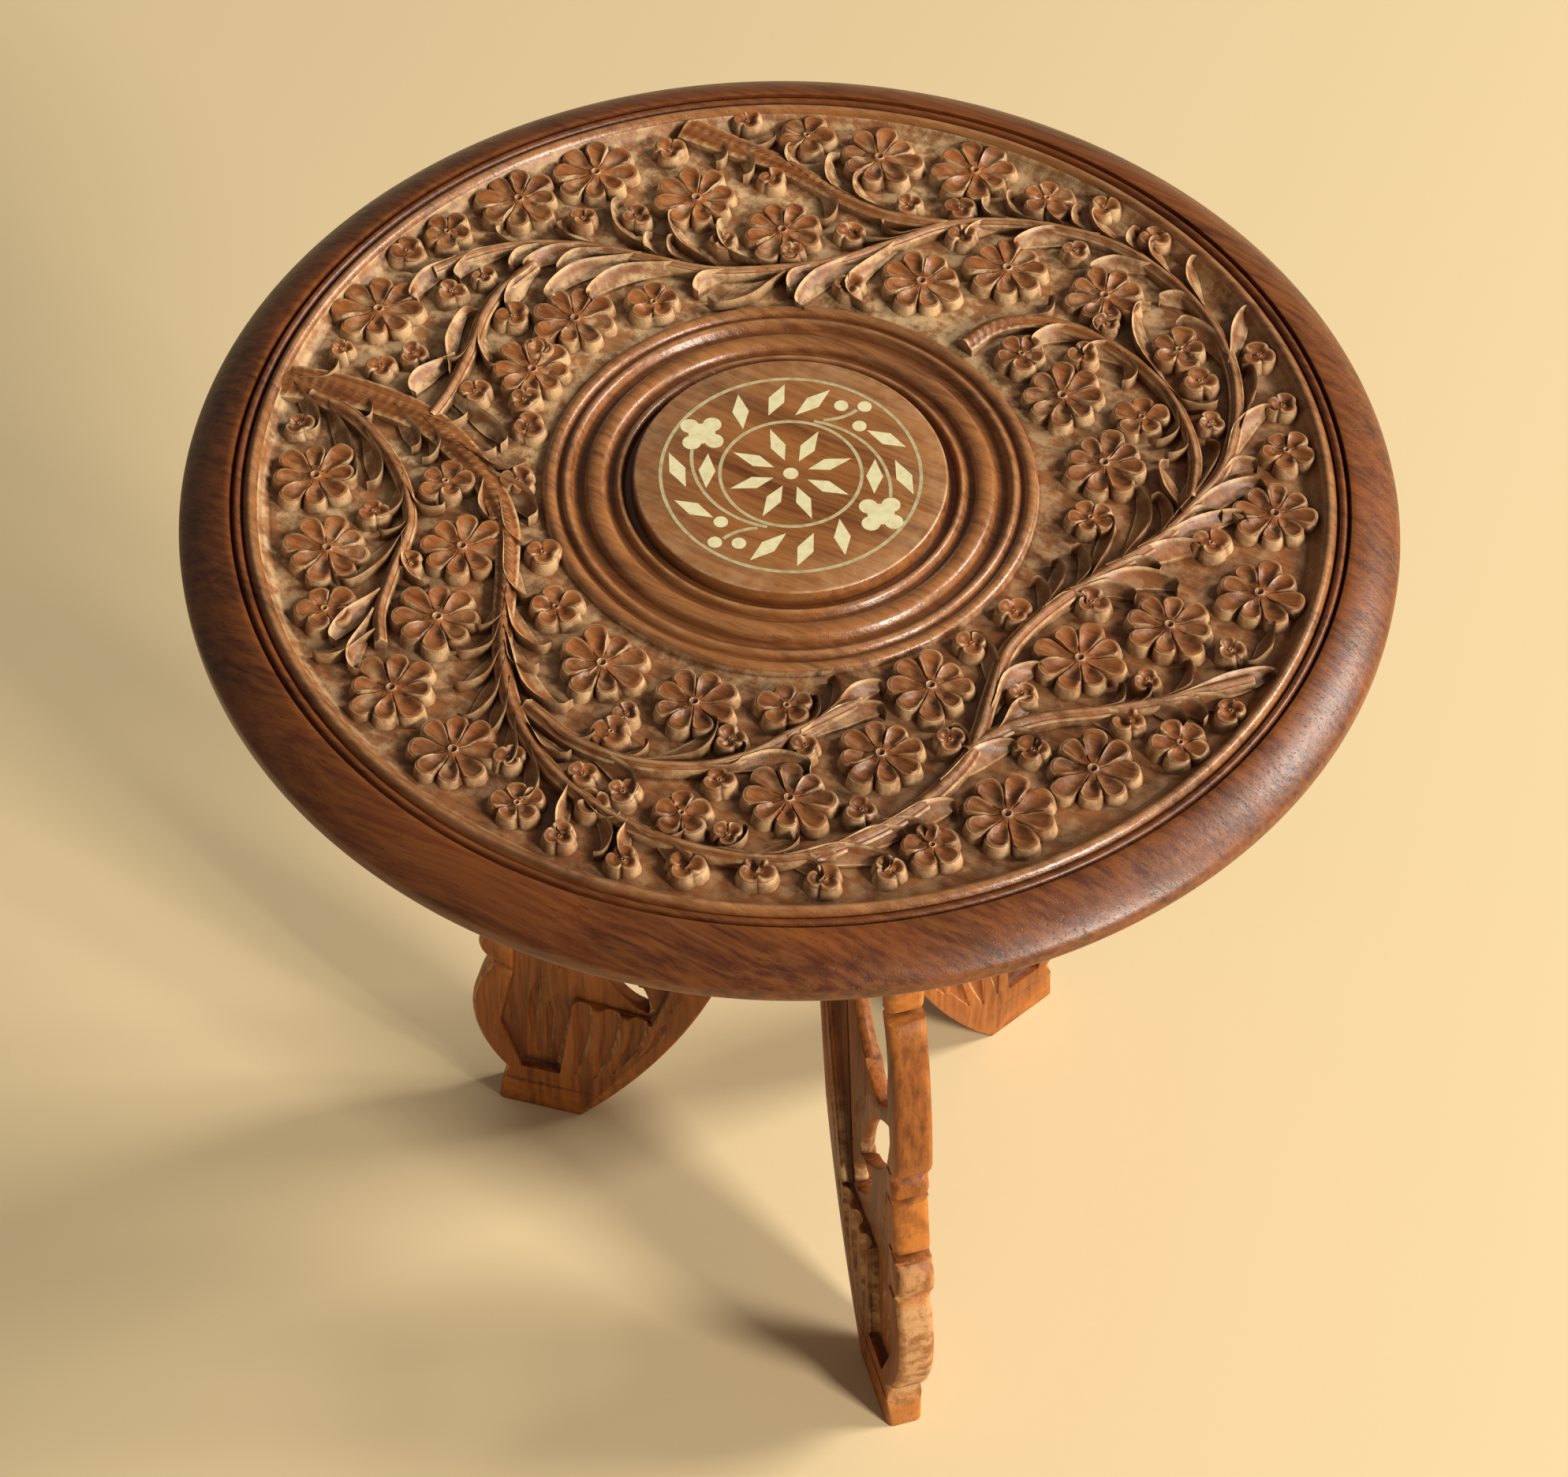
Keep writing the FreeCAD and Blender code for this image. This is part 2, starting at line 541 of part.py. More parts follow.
def leg_outline():
    """The outline of a leg panel, with its hinge edge at x = 0."""
    crown_z = UNDERSIDE_Z - CROWN_BLOCK_HEIGHT
    block_z = KNEE_TOP + LEDGE_HEIGHT
    collar_z = BLOCK_TOP + COLLAR_GROOVE_HEIGHT
    collar_top = collar_z + COLLAR_HEIGHT
    lobe_z = collar_top + LOBE_NECK_HEIGHT
    shelf_z = LOBE_TOP + SHELF_HEIGHT
    neck_z = shelf_z + BRACKET_BLOCK_HEIGHT
    leg = Outline(HEEL_REACH, 0)
    leg.line(TOE_REACH, 0)
    leg.line(ANKLE_REACH, FOOT_HEIGHT)
    leg.arc(CALF_REACH, (FOOT_HEIGHT + CALF_TOP) / 2.0, KNEE_NOTCH_REACH, CALF_TOP)
    leg.arc(KNEE_REACH, (CALF_TOP + KNEE_TOP) / 2.0, LEDGE_REACH, KNEE_TOP)
    leg.line(LEDGE_REACH, block_z)
    leg.line(BLOCK_LOW_REACH, block_z)
    leg.line(BLOCK_HIGH_REACH, BLOCK_TOP)
    leg.line(COLLAR_NECK_REACH, collar_z)
    leg.arc(COLLAR_REACH, collar_z + COLLAR_HEIGHT / 2.0, COLLAR_NECK_REACH, collar_top)
    leg.line(LOBE_NECK_REACH, lobe_z)
    leg.bow(LOBE_LOW_REACH, lobe_z + LOBE_ROUND, LOBE_CROWN)
    leg.bow(LOBE_HIGH_REACH, LOBE_TOP, LOBE_CROWN)
    leg.line(SHELF_REACH, LOBE_TOP)
    leg.line(SHELF_REACH, shelf_z)
    leg.line(BRACKET_BLOCK_REACH, shelf_z)
    leg.line(BRACKET_BLOCK_REACH, neck_z)
    leg.line(BRACKET_NECK_REACH, neck_z)
    leg.bow(LEG_TOP_REACH - BRACKET_STEP, crown_z, -BRACKET_HOLLOW)
    leg.line(LEG_TOP_REACH, crown_z)
    leg.line(LEG_TOP_REACH, UNDERSIDE_Z)
    leg.line(0, UNDERSIDE_Z)
    leg.line(0, HINGE_EDGE_BOTTOM)
    leg.bow(ARCH_HIGH_REACH, ARCH_HIGH_HEIGHT, -ARCH_BULGE)
    leg.line(ARCH_LOW_REACH, ARCH_LOW_HEIGHT)
    leg.bow(HEEL_REACH, 0, ARCH_BULGE)
    return leg.face()


def pierced_leaf(low_x, low_z, high_x, high_z, width):
    """A pointed leaf-shaped opening, as a cutter that runs right through a panel."""
    leaf = Outline(low_x, low_z)
    leaf.bow(high_x, high_z, width / 2.0)
    leaf.bow(low_x, low_z, width / 2.0)
    face = leaf.face()
    face.translate(vec(0, -LEG_THICKNESS, 0))
    return face.extrude(vec(0, 2.0 * LEG_THICKNESS, 0))


def web_recess(side):
    """A cutter that sinks the web of a panel from the face on one side."""
    top = UNDERSIDE_Z - WEB_TOP_RAIL
    crown = ((WEB_CROWN_REACH, top), (WEB_STILE, top), (WEB_STILE, WEB_STILE_BOTTOM))
    field = Outline(*MOULDING_LINE[0])
    for point in MOULDING_LINE[1:] + crown + BORDER_LINE:
        field.line(*point)
    face = field.face()
    face.translate(vec(0, side * WEB_THICKNESS / 2.0, 0))
    return face.extrude(vec(0, side * LEG_THICKNESS, 0))


def leg_panel():
    """A leg panel lying in the XZ plane, with its thickness shared about y = 0."""
    face = leg_outline()
    face.translate(vec(0, -LEG_THICKNESS / 2.0, 0))
    panel = face.extrude(vec(0, LEG_THICKNESS, 0))
    openings = [pierced_leaf(*leaf) for leaf in PIERCED_LEAVES]
    return panel.cut(openings + [web_recess(side) for side in (LEFT, RIGHT)])


def hinge_heights(side):
    """Heights of the middles of the hinges on one side; the two sides take turns."""
    first = 1 if side == RIGHT else 0
    return [HINGE_EDGE_BOTTOM + (2 * turn + first + 0.5) * HINGE_PITCH for turn in range(HINGES_PER_JOINT)]


def upright(side, radius, low_z, high_z):
    """An upright cylinder on the hinge pin of one side."""
    return Part.makeCylinder(radius, high_z - low_z, vec(-PIN_SETBACK, side * PIN_OFFSET, low_z))


def screw(y, z):
    """A countersunk wood screw, driven along +X into a hinge edge."""
    face = -HINGE_LEAF_THICKNESS
    neck = face + SCREW_HEAD_HEIGHT
    tip = face + SCREW_LENGTH
    profile = Outline(face, 0)
    profile.line(face, SCREW_HEAD_RADIUS)
    profile.line(neck, SCREW_SHANK_RADIUS)
    profile.line(tip - SCREW_TIP, SCREW_SHANK_RADIUS)
    profile.line(tip, 0)
    solid = profile.face().revolve(vec(0, 0, 0), vec(1, 0, 0), 360)
    solid.translate(vec(0, y, z))
    return solid


def leaf_screws(side, way):
    """The screws of the hinge leaves that lie to one way of the pin: -1 fixed, +1 moving."""
    y = side * (PIN_OFFSET + way * SCREW_OFFSET)
    screws = []
    for middle in hinge_heights(side):
        screws.append(screw(y, middle - SCREW_PITCH / 2.0))
        screws.append(screw(y, middle + SCREW_PITCH / 2.0))
    return screws


def hinge_plate(side, way, middle):
    """The flat of a hinge leaf, on the hinge edge of a panel."""
    near = side * (PIN_OFFSET + way * HINGE_LEAF_SETBACK)
    far = side * (PIN_OFFSET + way * HINGE_LEAF_WIDTH)
    corner = vec(-HINGE_LEAF_THICKNESS, min(near, far), middle - HINGE_LENGTH / 2.0)
    return Part.makeBox(HINGE_LEAF_THICKNESS, abs(far - near), HINGE_LENGTH, corner)


def hinge_leaf(side, way, middle):
    """One hinge leaf: the fixed one carries the two end knuckles, the moving one the middle one."""
    half_knuckle = HINGE_LENGTH / 6.0
    bottom, top = middle - HINGE_LENGTH / 2.0, middle + HINGE_LENGTH / 2.0
    inner = half_knuckle - KNUCKLE_GAP / 2.0
    outer = half_knuckle + KNUCKLE_GAP / 2.0
    inner_low, inner_high = middle - inner, middle + inner
    outer_low, outer_high = middle - outer, middle + outer
    room = BARREL_RADIUS + BARREL_CLEARANCE
    plate = hinge_plate(side, way, middle)
    if way < 0:
        plate = plate.cut(upright(side, room, outer_low, outer_high))
        knuckles = [
            upright(side, BARREL_RADIUS, bottom, outer_low),
            upright(side, BARREL_RADIUS, outer_high, top),
        ]
        bore = PIN_RADIUS
    else:
        plate = plate.cut([upright(side, room, bottom, inner_low), upright(side, room, inner_high, top)])
        knuckles = [upright(side, BARREL_RADIUS, inner_low, inner_high)]
        bore = PIN_RADIUS + PIN_CLEARANCE
    leaf = plate.multiFuse(knuckles).cut(upright(side, bore, bottom, top))
    return leaf.cut(leaf_screws(side, way)).removeSplitter()


def hinge_leaves(side, way):
    """All hinge leaves on one side that lie to one way of the pin."""
    return [hinge_leaf(side, way, middle) for middle in hinge_heights(side)]


def hinge_pins(side):
    """The hinge pins on one side."""
    half = HINGE_LENGTH / 2.0
    return [upright(side, PIN_RADIUS, middle - half, middle + half) for middle in hinge_heights(side)]


def side_leg(side):
    """A side leg panel, folded flat against the front one and drilled for its screws."""
    panel = leg_panel()
    panel.translate(vec(0, side * 2.0 * PIN_OFFSET, 0))
    return panel.cut(leaf_screws(side, 1))


def open_out(shapes, side, degrees):
    """Swing the pieces of a side leg open about its hinge pins."""
    for shape in shapes:
        shape.rotate(vec(-PIN_SETBACK, side * PIN_OFFSET, 0), UP, side * degrees)
    return shapes


def base_pieces():
    """All nodes of the legs and the hinges, in place under the top."""
    fixed_screws = leaf_screws(LEFT, -1) + leaf_screws(RIGHT, -1)
    nodes = {
        "front_leg": [leg_panel().cut(fixed_screws)],
        "front_leg_screws": fixed_screws,
    }
    for name, side, degrees in (("left", LEFT, LEFT_LEG_OPEN_DEG), ("right", RIGHT, RIGHT_LEG_OPEN_DEG)):
        nodes[name + "_hinge_fixed_leaves"] = hinge_leaves(side, -1)
        nodes[name + "_hinge_pins"] = hinge_pins(side)
        nodes[name + "_leg"] = open_out([side_leg(side)], side, degrees)
        nodes[name + "_hinge_moving_leaves"] = open_out(hinge_leaves(side, 1), side, degrees)
        nodes[name + "_leg_screws"] = open_out(leaf_screws(side, 1), side, degrees)
    for shapes in nodes.values():
        for shape in shapes:
            shape.rotate(vec(0, 0, 0), UP, FRONT_LEG_AZIMUTH_DEG)
            shape.translate(vec(BASE_X, BASE_Y, 0))
    return nodes


def main():
    """Build every node, check it and write it out."""
    nodes = inlay_pieces()
    cutters = [solid for solids in nodes.values() for solid in solids]
    nodes["table_top"] = [turned_top().cut(cutters).fuse(carving())]
    nodes.update(base_pieces())
    os.makedirs("parts", exist_ok=True)
    for name in sorted(nodes):
        solids = nodes[name]
        shape = solids[0] if len(solids) == 1 else Part.makeCompound(solids)
        if not shape.isValid():
            raise ValueError(name + " is not a valid solid")
        shape.exportStep("parts/" + name + ".step")
        print("%-28s %2d solids %12.1f mm3" % (name, len(shape.Solids), shape.Volume))


main()
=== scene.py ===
"""Looks of a folding plant stand: a carved, inlaid round top on three hinged leg panels.

Sizes in the layouts and in the classes are millimetres in the stand's own frame, unless a
docstring says otherwise. Meshes are in metres.
"""

from __future__ import annotations

import json
import logging
import math
import random
from dataclasses import dataclass, field, replace
from enum import Enum
from typing import Callable, Dict, Iterable, List, Sequence, Tuple

import bmesh
import bpy
from mathutils import Matrix, Vector, noise

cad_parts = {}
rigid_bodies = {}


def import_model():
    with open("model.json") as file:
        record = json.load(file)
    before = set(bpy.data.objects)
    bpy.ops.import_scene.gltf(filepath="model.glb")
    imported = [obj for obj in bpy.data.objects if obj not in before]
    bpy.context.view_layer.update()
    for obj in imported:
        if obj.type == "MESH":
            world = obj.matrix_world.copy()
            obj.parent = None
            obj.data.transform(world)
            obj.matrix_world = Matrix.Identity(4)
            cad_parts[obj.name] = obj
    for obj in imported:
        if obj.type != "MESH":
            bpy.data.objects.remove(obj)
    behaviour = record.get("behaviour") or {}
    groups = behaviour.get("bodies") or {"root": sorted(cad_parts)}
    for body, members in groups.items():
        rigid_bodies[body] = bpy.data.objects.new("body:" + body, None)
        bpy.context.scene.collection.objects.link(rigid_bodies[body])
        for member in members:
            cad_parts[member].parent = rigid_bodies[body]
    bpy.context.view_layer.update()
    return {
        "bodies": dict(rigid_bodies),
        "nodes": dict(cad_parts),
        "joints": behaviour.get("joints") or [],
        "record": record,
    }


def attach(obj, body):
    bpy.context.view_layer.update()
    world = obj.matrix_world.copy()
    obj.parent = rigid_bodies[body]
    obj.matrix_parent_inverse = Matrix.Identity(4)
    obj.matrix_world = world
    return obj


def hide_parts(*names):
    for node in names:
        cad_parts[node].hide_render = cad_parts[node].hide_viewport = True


LOG = logging.getLogger("plant_stand")
# Metres in a millimetre, and the length in metres under which an edge is a sliver
MM = 0.001
SLIVER = 1e-7
Point = Tuple[float, float]
Triple = Tuple[float, float, float]
Colour = Tuple[float, float, float, float]
Stroke = Tuple[Point, Point, Point, float]


class Body(Enum):
    """Moving bodies of the stand."""

    TOP = "top"
    FRONT = "front_panel"
    LEFT = "left_panel"
    RIGHT = "right_panel"


# Layout of the carved ring, in millimetres from the middle of the top

# Large flowers: x, y, radius
FLOWERS: Tuple[Triple, ...] = (
    (-53.5, 109.0, 11.2), (-73.4, 98.4, 11.0), (-107.3, 56.5, 11.3), (-56.5, 54.5, 10.8),
    (-26.5, 100.0, 11.3), (-3.5, 88.5, 11.0), (22.0, 117.0, 11.3), (47.5, 112.5, 11.0),
    (33.0, 70.5, 11.3), (55.5, 76.0, 11.0), (80.5, 66.5, 10.6), (68.5, 30.5, 10.8), (78.5, 7.5, 10.8),
    (120.3, -8.5, 10.8), (115.0, -34.5, 11.0), (92.5, -45.5, 11.0), (70.5, -56.5, 11.0),
    (34.5, -66.0, 11.0), (72.5, -90.5, 11.3), (52.0, -104.5, 11.3), (22.5, -87.0, 10.8),
    (1.0, -101.0, 11.0), (-22.0, -72.5, 10.5), (-44.5, -61.0, 11.0), (-78.5, -88.5, 11.0),
    (-94.5, -70.0, 10.8), (-85.0, -47.5, 11.0), (-80.5, -24.5, 11.0), (-113.5, -26.0, 11.0),
    (-118.5, -2.0, 11.3), (-66.5, 36.0, 10.8),
)

# Small flowers: x, y, radius
SMALL_FLOWERS: Tuple[Triple, ...] = (
    (-91.5, 85.5, 6.8), (-86.0, -3.0, 7.0), (-24.0, -106.0, 7.0), (34.5, -114.0, 7.5),
    (93.5, -82.0, 7.3), (-62.5, -104.0, 6.8), (-56.5, -43.5, 7.0), (-112.5, -45.5, 8.0),
    (88.5, 23.5, 7.0), (99.0, 47.5, 7.8), (66.5, 102.5, 7.3), (2.5, 125.0, 7.6), (124.5, 13.0, 7.0),
    (58.5, 45.0, 7.0), (0.0, -73.0, 7.3), (-36.5, 61.0, 7.2), (74.5, -11.0, 6.0),
)

# Buds: x, y, radius
BUDS: Tuple[Triple, ...] = (
    (-101.5, 78.0, 5.2), (-81.0, 69.0, 3.6), (-89.0, 63.5, 4.2), (-72.5, 55.0, 4.5),
    (-56.0, 91.5, 4.0), (-42.0, 92.5, 4.2), (-34.0, 118.0, 4.3), (-115.5, 42.0, 3.6),
    (-65.0, 43.5, 3.8), (-13.5, 130.0, 4.0), (-6.5, 108.0, 4.3), (-19.0, 84.0, 4.2), (-1.0, 80.5, 3.6),
    (14.5, 88.0, 4.0), (30.0, 99.0, 4.0), (43.5, 98.0, 4.6), (44.0, 87.5, 4.2), (14.0, 68.5, 4.2),
    (81.5, 99.5, 4.3), (94.5, 88.5, 4.3), (73.5, 83.0, 4.0), (74.5, 45.0, 4.2), (81.0, 56.5, 3.6),
    (104.0, 36.5, 4.8), (119.5, 46.0, 4.5), (124.5, 28.5, 4.4), (106.0, 22.0, 4.0), (74.0, -38.5, 4.5),
    (104.0, -18.5, 5.2), (107.0, -53.0, 4.3), (86.5, -63.0, 3.8), (81.5, -75.5, 4.6),
    (106.0, -72.0, 4.2), (58.5, -85.0, 4.5), (56.5, -68.0, 4.3), (44.5, -52.5, 4.2),
    (39.0, -82.5, 4.4), (55.0, -42.0, 4.5), (-38.0, -76.5, 3.6), (-41.5, -82.0, 5.2),
    (-13.0, -83.5, 4.2), (4.5, -85.5, 3.6), (-15.5, -96.0, 4.5), (-47.5, -95.0, 4.5),
    (-38.0, -100.0, 4.5), (-45.0, -103.5, 4.5), (-52.0, -113.5, 4.0), (-37.0, -120.0, 4.3),
    (-22.5, -121.5, 4.8), (-6.0, -122.5, 4.5), (9.5, -124.5, 4.3), (24.5, -121.0, 4.3),
    (18.0, -104.0, 4.2), (-13.0, -112.0, 3.8), (-65.0, -90.5, 4.0), (-124.0, 15.5, 4.0),
    (-103.0, -13.5, 4.3), (-80.5, 28.0, 4.5), (-66.5, 16.5, 4.5), (-68.0, -2.0, 4.5),
    (-105.0, 36.0, 4.5), (-97.0, 41.0, 4.0), (-93.0, -30.0, 3.5), (-60.5, -26.0, 4.8),
    (-68.0, 25.5, 4.3),
)

# Stems: points along the middle, width at the start, width at the end
STEMS: Tuple[Tuple[Tuple[Point, ...], float, float], ...] = (
    (
        (
            (-132, 31), (-118, 29), (-103, 24), (-91, 17), (-82, 7), (-75, -4), (-70, -17), (-69, -32),
            (-69, -48), (-68, -63), (-64, -78), (-57, -91), (-47, -102), (-34, -111), (-18, -117),
            (-2, -119), (12, -116.5),
        ),
        11.5,
        3.2,
    ),
    (
        (
            (6, -118), (20, -111), (32, -102), (42, -90), (46, -80), (49, -68), (53, -55), (60, -45),
            (69, -36), (80, -27), (92, -17), (101, -5), (108, 6), (112, 20), (113, 35), (111, 48),
            (106, 61), (97, 74), (86, 84), (73, 90), (57, 93), (40, 91.5), (25, 84), (10, 77),
            (-5, 74), (-22, 73), (-38, 77), (-55, 81), (-72, 81), (-84, 77), (-94, 71),
        ),
        4.6,
        3.4,
    ),
    (
        (
            (-30, 127.5), (-18, 121), (-6, 115), (4, 108), (13, 101), (24, 95), (40, 91.5),
        ),
        9.0,
        4.0,
    ),
    (
        (
            (44, 48), (52, 55), (63, 57), (75, 53), (85, 45.5), (94, 35), (99, 23), (101.5, 10),
            (100, -4),
        ),
        5.5,
        3.4,
    ),
    (
        (
            (-62, -74), (-50, -85), (-36, -91), (-20, -92), (-8, -88), (1, -82), (9, -77), (18, -71),
        ),
        4.2,
        3.0,
    ),
    (
        (
            (43, -86), (52, -79), (62, -75), (75, -73), (88, -70), (100, -66), (112, -62),
        ),
        4.6,
        3.2,
    ),
    (
        (
            (-122, 26), (-111, 19), (-103, 9), (-98, 0), (-95, -9), (-94, -19), (-97, -34), (-99, -46),
            (-98, -56),
        ),
        4.6,
        3.2,
    ),
    (
        (
            (-68, 74), (-76, 64), (-80, 55), (-82, 45), (-84.5, 36), (-87, 28), (-91, 19),
        ),
        4.2,
        3.6,
    ),
)

# Leaves and stalks: free end, middle, end on the stem, width
LEAVES: Tuple[Stroke, ...] = (
    ((-53, 64), (-45, 71), (-30, 74.5), 5.0), ((-64, 63.5), (-56, 72), (-40, 77.5), 5.0),
    ((-70, 74), (-62, 78.5), (-48, 80), 4.5), ((-99, 62), (-95, 69), (-88, 75), 4.5),
    ((-74, 59), (-72, 65), (-68, 72), 4.5), ((-88, 70), (-83, 76), (-74, 80), 4.0),
    ((-48, 97), (-45, 88), (-36, 78), 4.0), ((-33, 93), (-29, 84), (-20, 74), 4.0),
    ((-20, 90), (-17, 82), (-8, 75), 4.0), ((-62, 88), (-57, 84.5), (-48, 80), 4.0),
    ((-78, 86), (-74, 83), (-66, 81), 4.0), ((-96.5, 28), (-94, 33), (-86, 40), 5.0),
    ((-85, 56), (-87.5, 46), (-87, 34), 3.6), ((-77, 37.5), (-79, 44), (-81, 52), 3.5),
    ((-72, 11.5), (-77, 17), (-86, 26), 4.5), ((-20, 61.5), (-13, 66), (-3, 73), 6.5),
    ((1, 62.5), (7, 71), (20, 81), 5.5), ((18, 62), (15.5, 70), (27, 84), 4.5),
    ((9, 116), (10.5, 107), (19, 98), 4.5), ((16, 109), (18, 102), (27, 95), 4.0),
    ((-2, 120), (-1, 115), (4, 108), 4.0), ((17, 87), (24, 86.5), (32, 88), 3.2),
    ((58.5, 85.5), (67, 88.5), (80, 87.5), 5.5), ((45, 88), (49, 91), (56, 93), 3.2),
    ((79, 97), (82, 91), (90, 81), 4.5), ((94, 87), (95, 82), (100, 71), 4.0),
    ((67, 98), (70, 95), (78, 88), 4.0), ((104, 80), (104, 73), (107, 61), 4.0),
    ((117, 62), (115, 55), (112, 42), 4.5), ((101, 58), (106, 53), (111, 44), 5.0),
    ((89, 62), (90, 50), (97, 31), 4.5), ((78, 77), (84, 78.5), (93, 77), 4.0),
    ((62, 50), (68, 53), (77, 52), 4.0), ((75, 46), (80, 47), (88, 42), 4.5),
    ((79, 58), (79, 54.5), (85, 45), 3.5), ((117, 41), (116, 34), (113, 20), 4.5),
    ((120, 27), (114, 20), (109, 7), 5.0), ((107, 13), (101, 2), (91, -16), 4.5),
    ((116, 2), (107, -3), (94, -15), 5.0), ((111, -9), (101, -13), (86, -22), 4.5),
    ((100, -19.5), (92, -21.5), (78, -28), 5.0), ((94, -32), (84, -30.5), (69, -36), 5.5),
    ((87, -2), (87.5, -11), (81, -25), 4.5), ((79.5, -12), (77.5, -19), (73, -32), 4.0),
    ((66, -26), (65.5, -31), (61, -43), 4.0), ((93, 7), (95, 0), (98, -10), 4.0),
    ((72, -38), (68, -38), (62, -42), 3.5), ((112, -56.5), (115.5, -51), (118, -44), 4.0),
    ((60, -59.5), (54, -63.5), (49.5, -73), 4.5), ((53, -83.5), (46, -87.5), (37, -96), 5.0),
    ((39, -102), (33, -104.5), (21, -111), 5.5), ((46, -50), (49, -58), (49.5, -69), 4.5),
    ((116, -60), (107, -63.5), (93, -69), 5.5), ((81, -78), (78, -75.5), (71, -73.5), 5.0),
    ((87, -65.5), (84, -69), (77, -72.5), 3.5), ((106, -70), (102, -69), (95, -68), 3.5),
    ((60, -84), (57, -81.5), (51, -79.5), 4.0), ((58, -70), (55.5, -73), (51, -80), 4.0),
    ((40.5, -79), (42, -84), (40, -93), 4.0), ((95, -76), (92, -73), (86, -70.5), 3.5),
    ((22, -66), (17, -68.5), (11, -75), 4.0), ((22, -73), (14, -75.5), (4, -82), 5.0),
    ((7, -71), (5.5, -76), (0, -83), 4.5), ((-17, -79), (-22, -86), (-35, -91), 5.5),
    ((-10, -86), (-13, -90), (-20, -92), 4.5), ((5, -90.5), (-3, -89.5), (-14, -92), 4.5),
    ((3, -113), (-1, -115.5), (-10, -118.5), 4.5), ((-9, -111), (-13, -114.5), (-22, -116), 4.5),
    ((23, -118), (13, -117), (1, -119), 5.0), ((27, -110.5), (21, -112), (10, -117), 5.0),
    ((-24, -111.5), (-30, -111.5), (-40, -107), 5.0), ((-39, -107), (-42, -106), (-49, -100), 4.5),
    ((-52, -112), (-51.5, -106), (-50, -98), 3.5), ((-37, -119), (-37, -114), (-36, -109), 3.5),
    ((-22, -121), (-26, -117), (-31, -112), 3.5), ((-6, -122), (-9, -119.5), (-15, -117), 3.5),
    ((9, -124), (6, -120.5), (0, -118.5), 3.5), ((24, -121), (22, -118), (15, -115), 3.5),
    ((33, -110), (29, -108), (23, -108), 3.2), ((-78, -68), (-73.5, -64), (-68.5, -55), 4.5),
    ((-75.5, -78), (-71.5, -71), (-68, -60), 4.5), ((-70, -82.5), (-68.5, -76), (-66.5, -66), 4.0),
    ((-54, -74), (-61, -67), (-68, -50), 5.0), ((-59.5, -56), (-64.5, -50), (-69, -38), 4.5),
    ((-74, -50), (-71, -46), (-69, -38), 4.0), ((-60, -102), (-59.5, -96), (-61, -86), 4.0),
    ((-46, -83), (-51, -83), (-59, -77), 4.5), ((-52, -89), (-56, -86), (-61, -80), 4.0),
    ((-36, -101), (-38, -95), (-47, -87), 5.0), ((-65, -92), (-65, -87), (-65, -77), 4.0),
    ((-107, -36), (-101, -28), (-94, -17), 5.0), ((-109, -2), (-112.5, 10), (-118, 23), 4.5),
    ((-120, 14), (-121.5, 20), (-127, 29), 4.0), ((-101, -15), (-98, -10), (-97, -1), 4.0),
    ((-103.5, -3), (-104.5, 4), (-108, 14), 5.0), ((-94, 9), (-96, 14), (-101, 22), 4.5),
    ((-65.5, -23), (-68.5, -18), (-72, -8), 4.0), ((-64, -40), (-67.5, -33), (-70, -20), 4.5),
    ((-74, -15), (-75.5, -10), (-76, -2), 4.0), ((-63.5, -13), (-68, -7), (-76, 0), 6.5),
    ((-66, 4), (-72, 3), (-80, 7), 4.0), ((-90, -36), (-93, -30), (-95, -21), 4.0),
    ((-104, -64), (-104, -58), (-100, -46), 4.0), ((-110, -54), (-106, -48), (-99, -40), 4.5),
    ((-113, -60), (-108, -58), (-100, -52), 4.0),
)

# Gouge cuts on the faces of a leg panel: start, middle and end as reach and height, width
GOUGES: Tuple[Stroke, ...] = (
    ((63.5, 64), (63.5, 44), (66.5, 22), 6.4), ((54.8, 64), (55.2, 44), (60.5, 22), 6.6),
    ((46.2, 64), (47, 46), (54.3, 27), 6.0), ((38, 58), (40, 51), (44, 42), 2.8),
    ((28.5, 98), (31, 82), (36, 66), 3.2), ((13, 140), (18.5, 124), (24, 104), 3.4),
    ((91, 71), (86, 69.5), (79, 64), 2.6), ((90, 12.5), (76, 12.5), (62, 12.5), 2.0),
    ((86.5, 88.5), (81, 88.5), (76, 87.5), 2.6), ((83, 108), (78, 108), (73, 108), 2.2),
    ((82, 120), (78, 120), (73, 120), 2.4), ((70, 179.5), (66, 179.5), (60, 179.5), 2.6),
    ((8, 275), (50, 275), (93, 275), 2.6), ((7.5, 152), (7.5, 210), (7.5, 270), 2.2),
)

# The same for cuts into the sunk web of a leg panel
WEB_GOUGES: Tuple[Stroke, ...] = (
    ((78, 62), (80, 44), (79, 26), 3.6), ((74.5, 52), (75, 38), (75.5, 25), 2.6),
    ((76, 104), (72, 90), (71, 72), 3.4), ((49, 108), (43.5, 94), (41.5, 78), 3.2),
    ((50, 206), (56, 222), (59, 240), 3.0),
)


def smoothstep(low: float, high: float, value: float) -> float:
    """Ease from 0 at low to 1 at high."""
    share = min(1.0, max(0.0, (value - low) / (high - low)))
    return share * share * (3.0 - 2.0 * share)


def flat(point: Point) -> Vector:
    """A point of a layout as a vector on the ground plane."""
    return Vector((*point, 0.0))


def run_length(route: Sequence[Vector]) -> float:
    """Length of the straight runs from point to point."""
    return sum((after - before).length for before, after in zip(route, route[1:]))


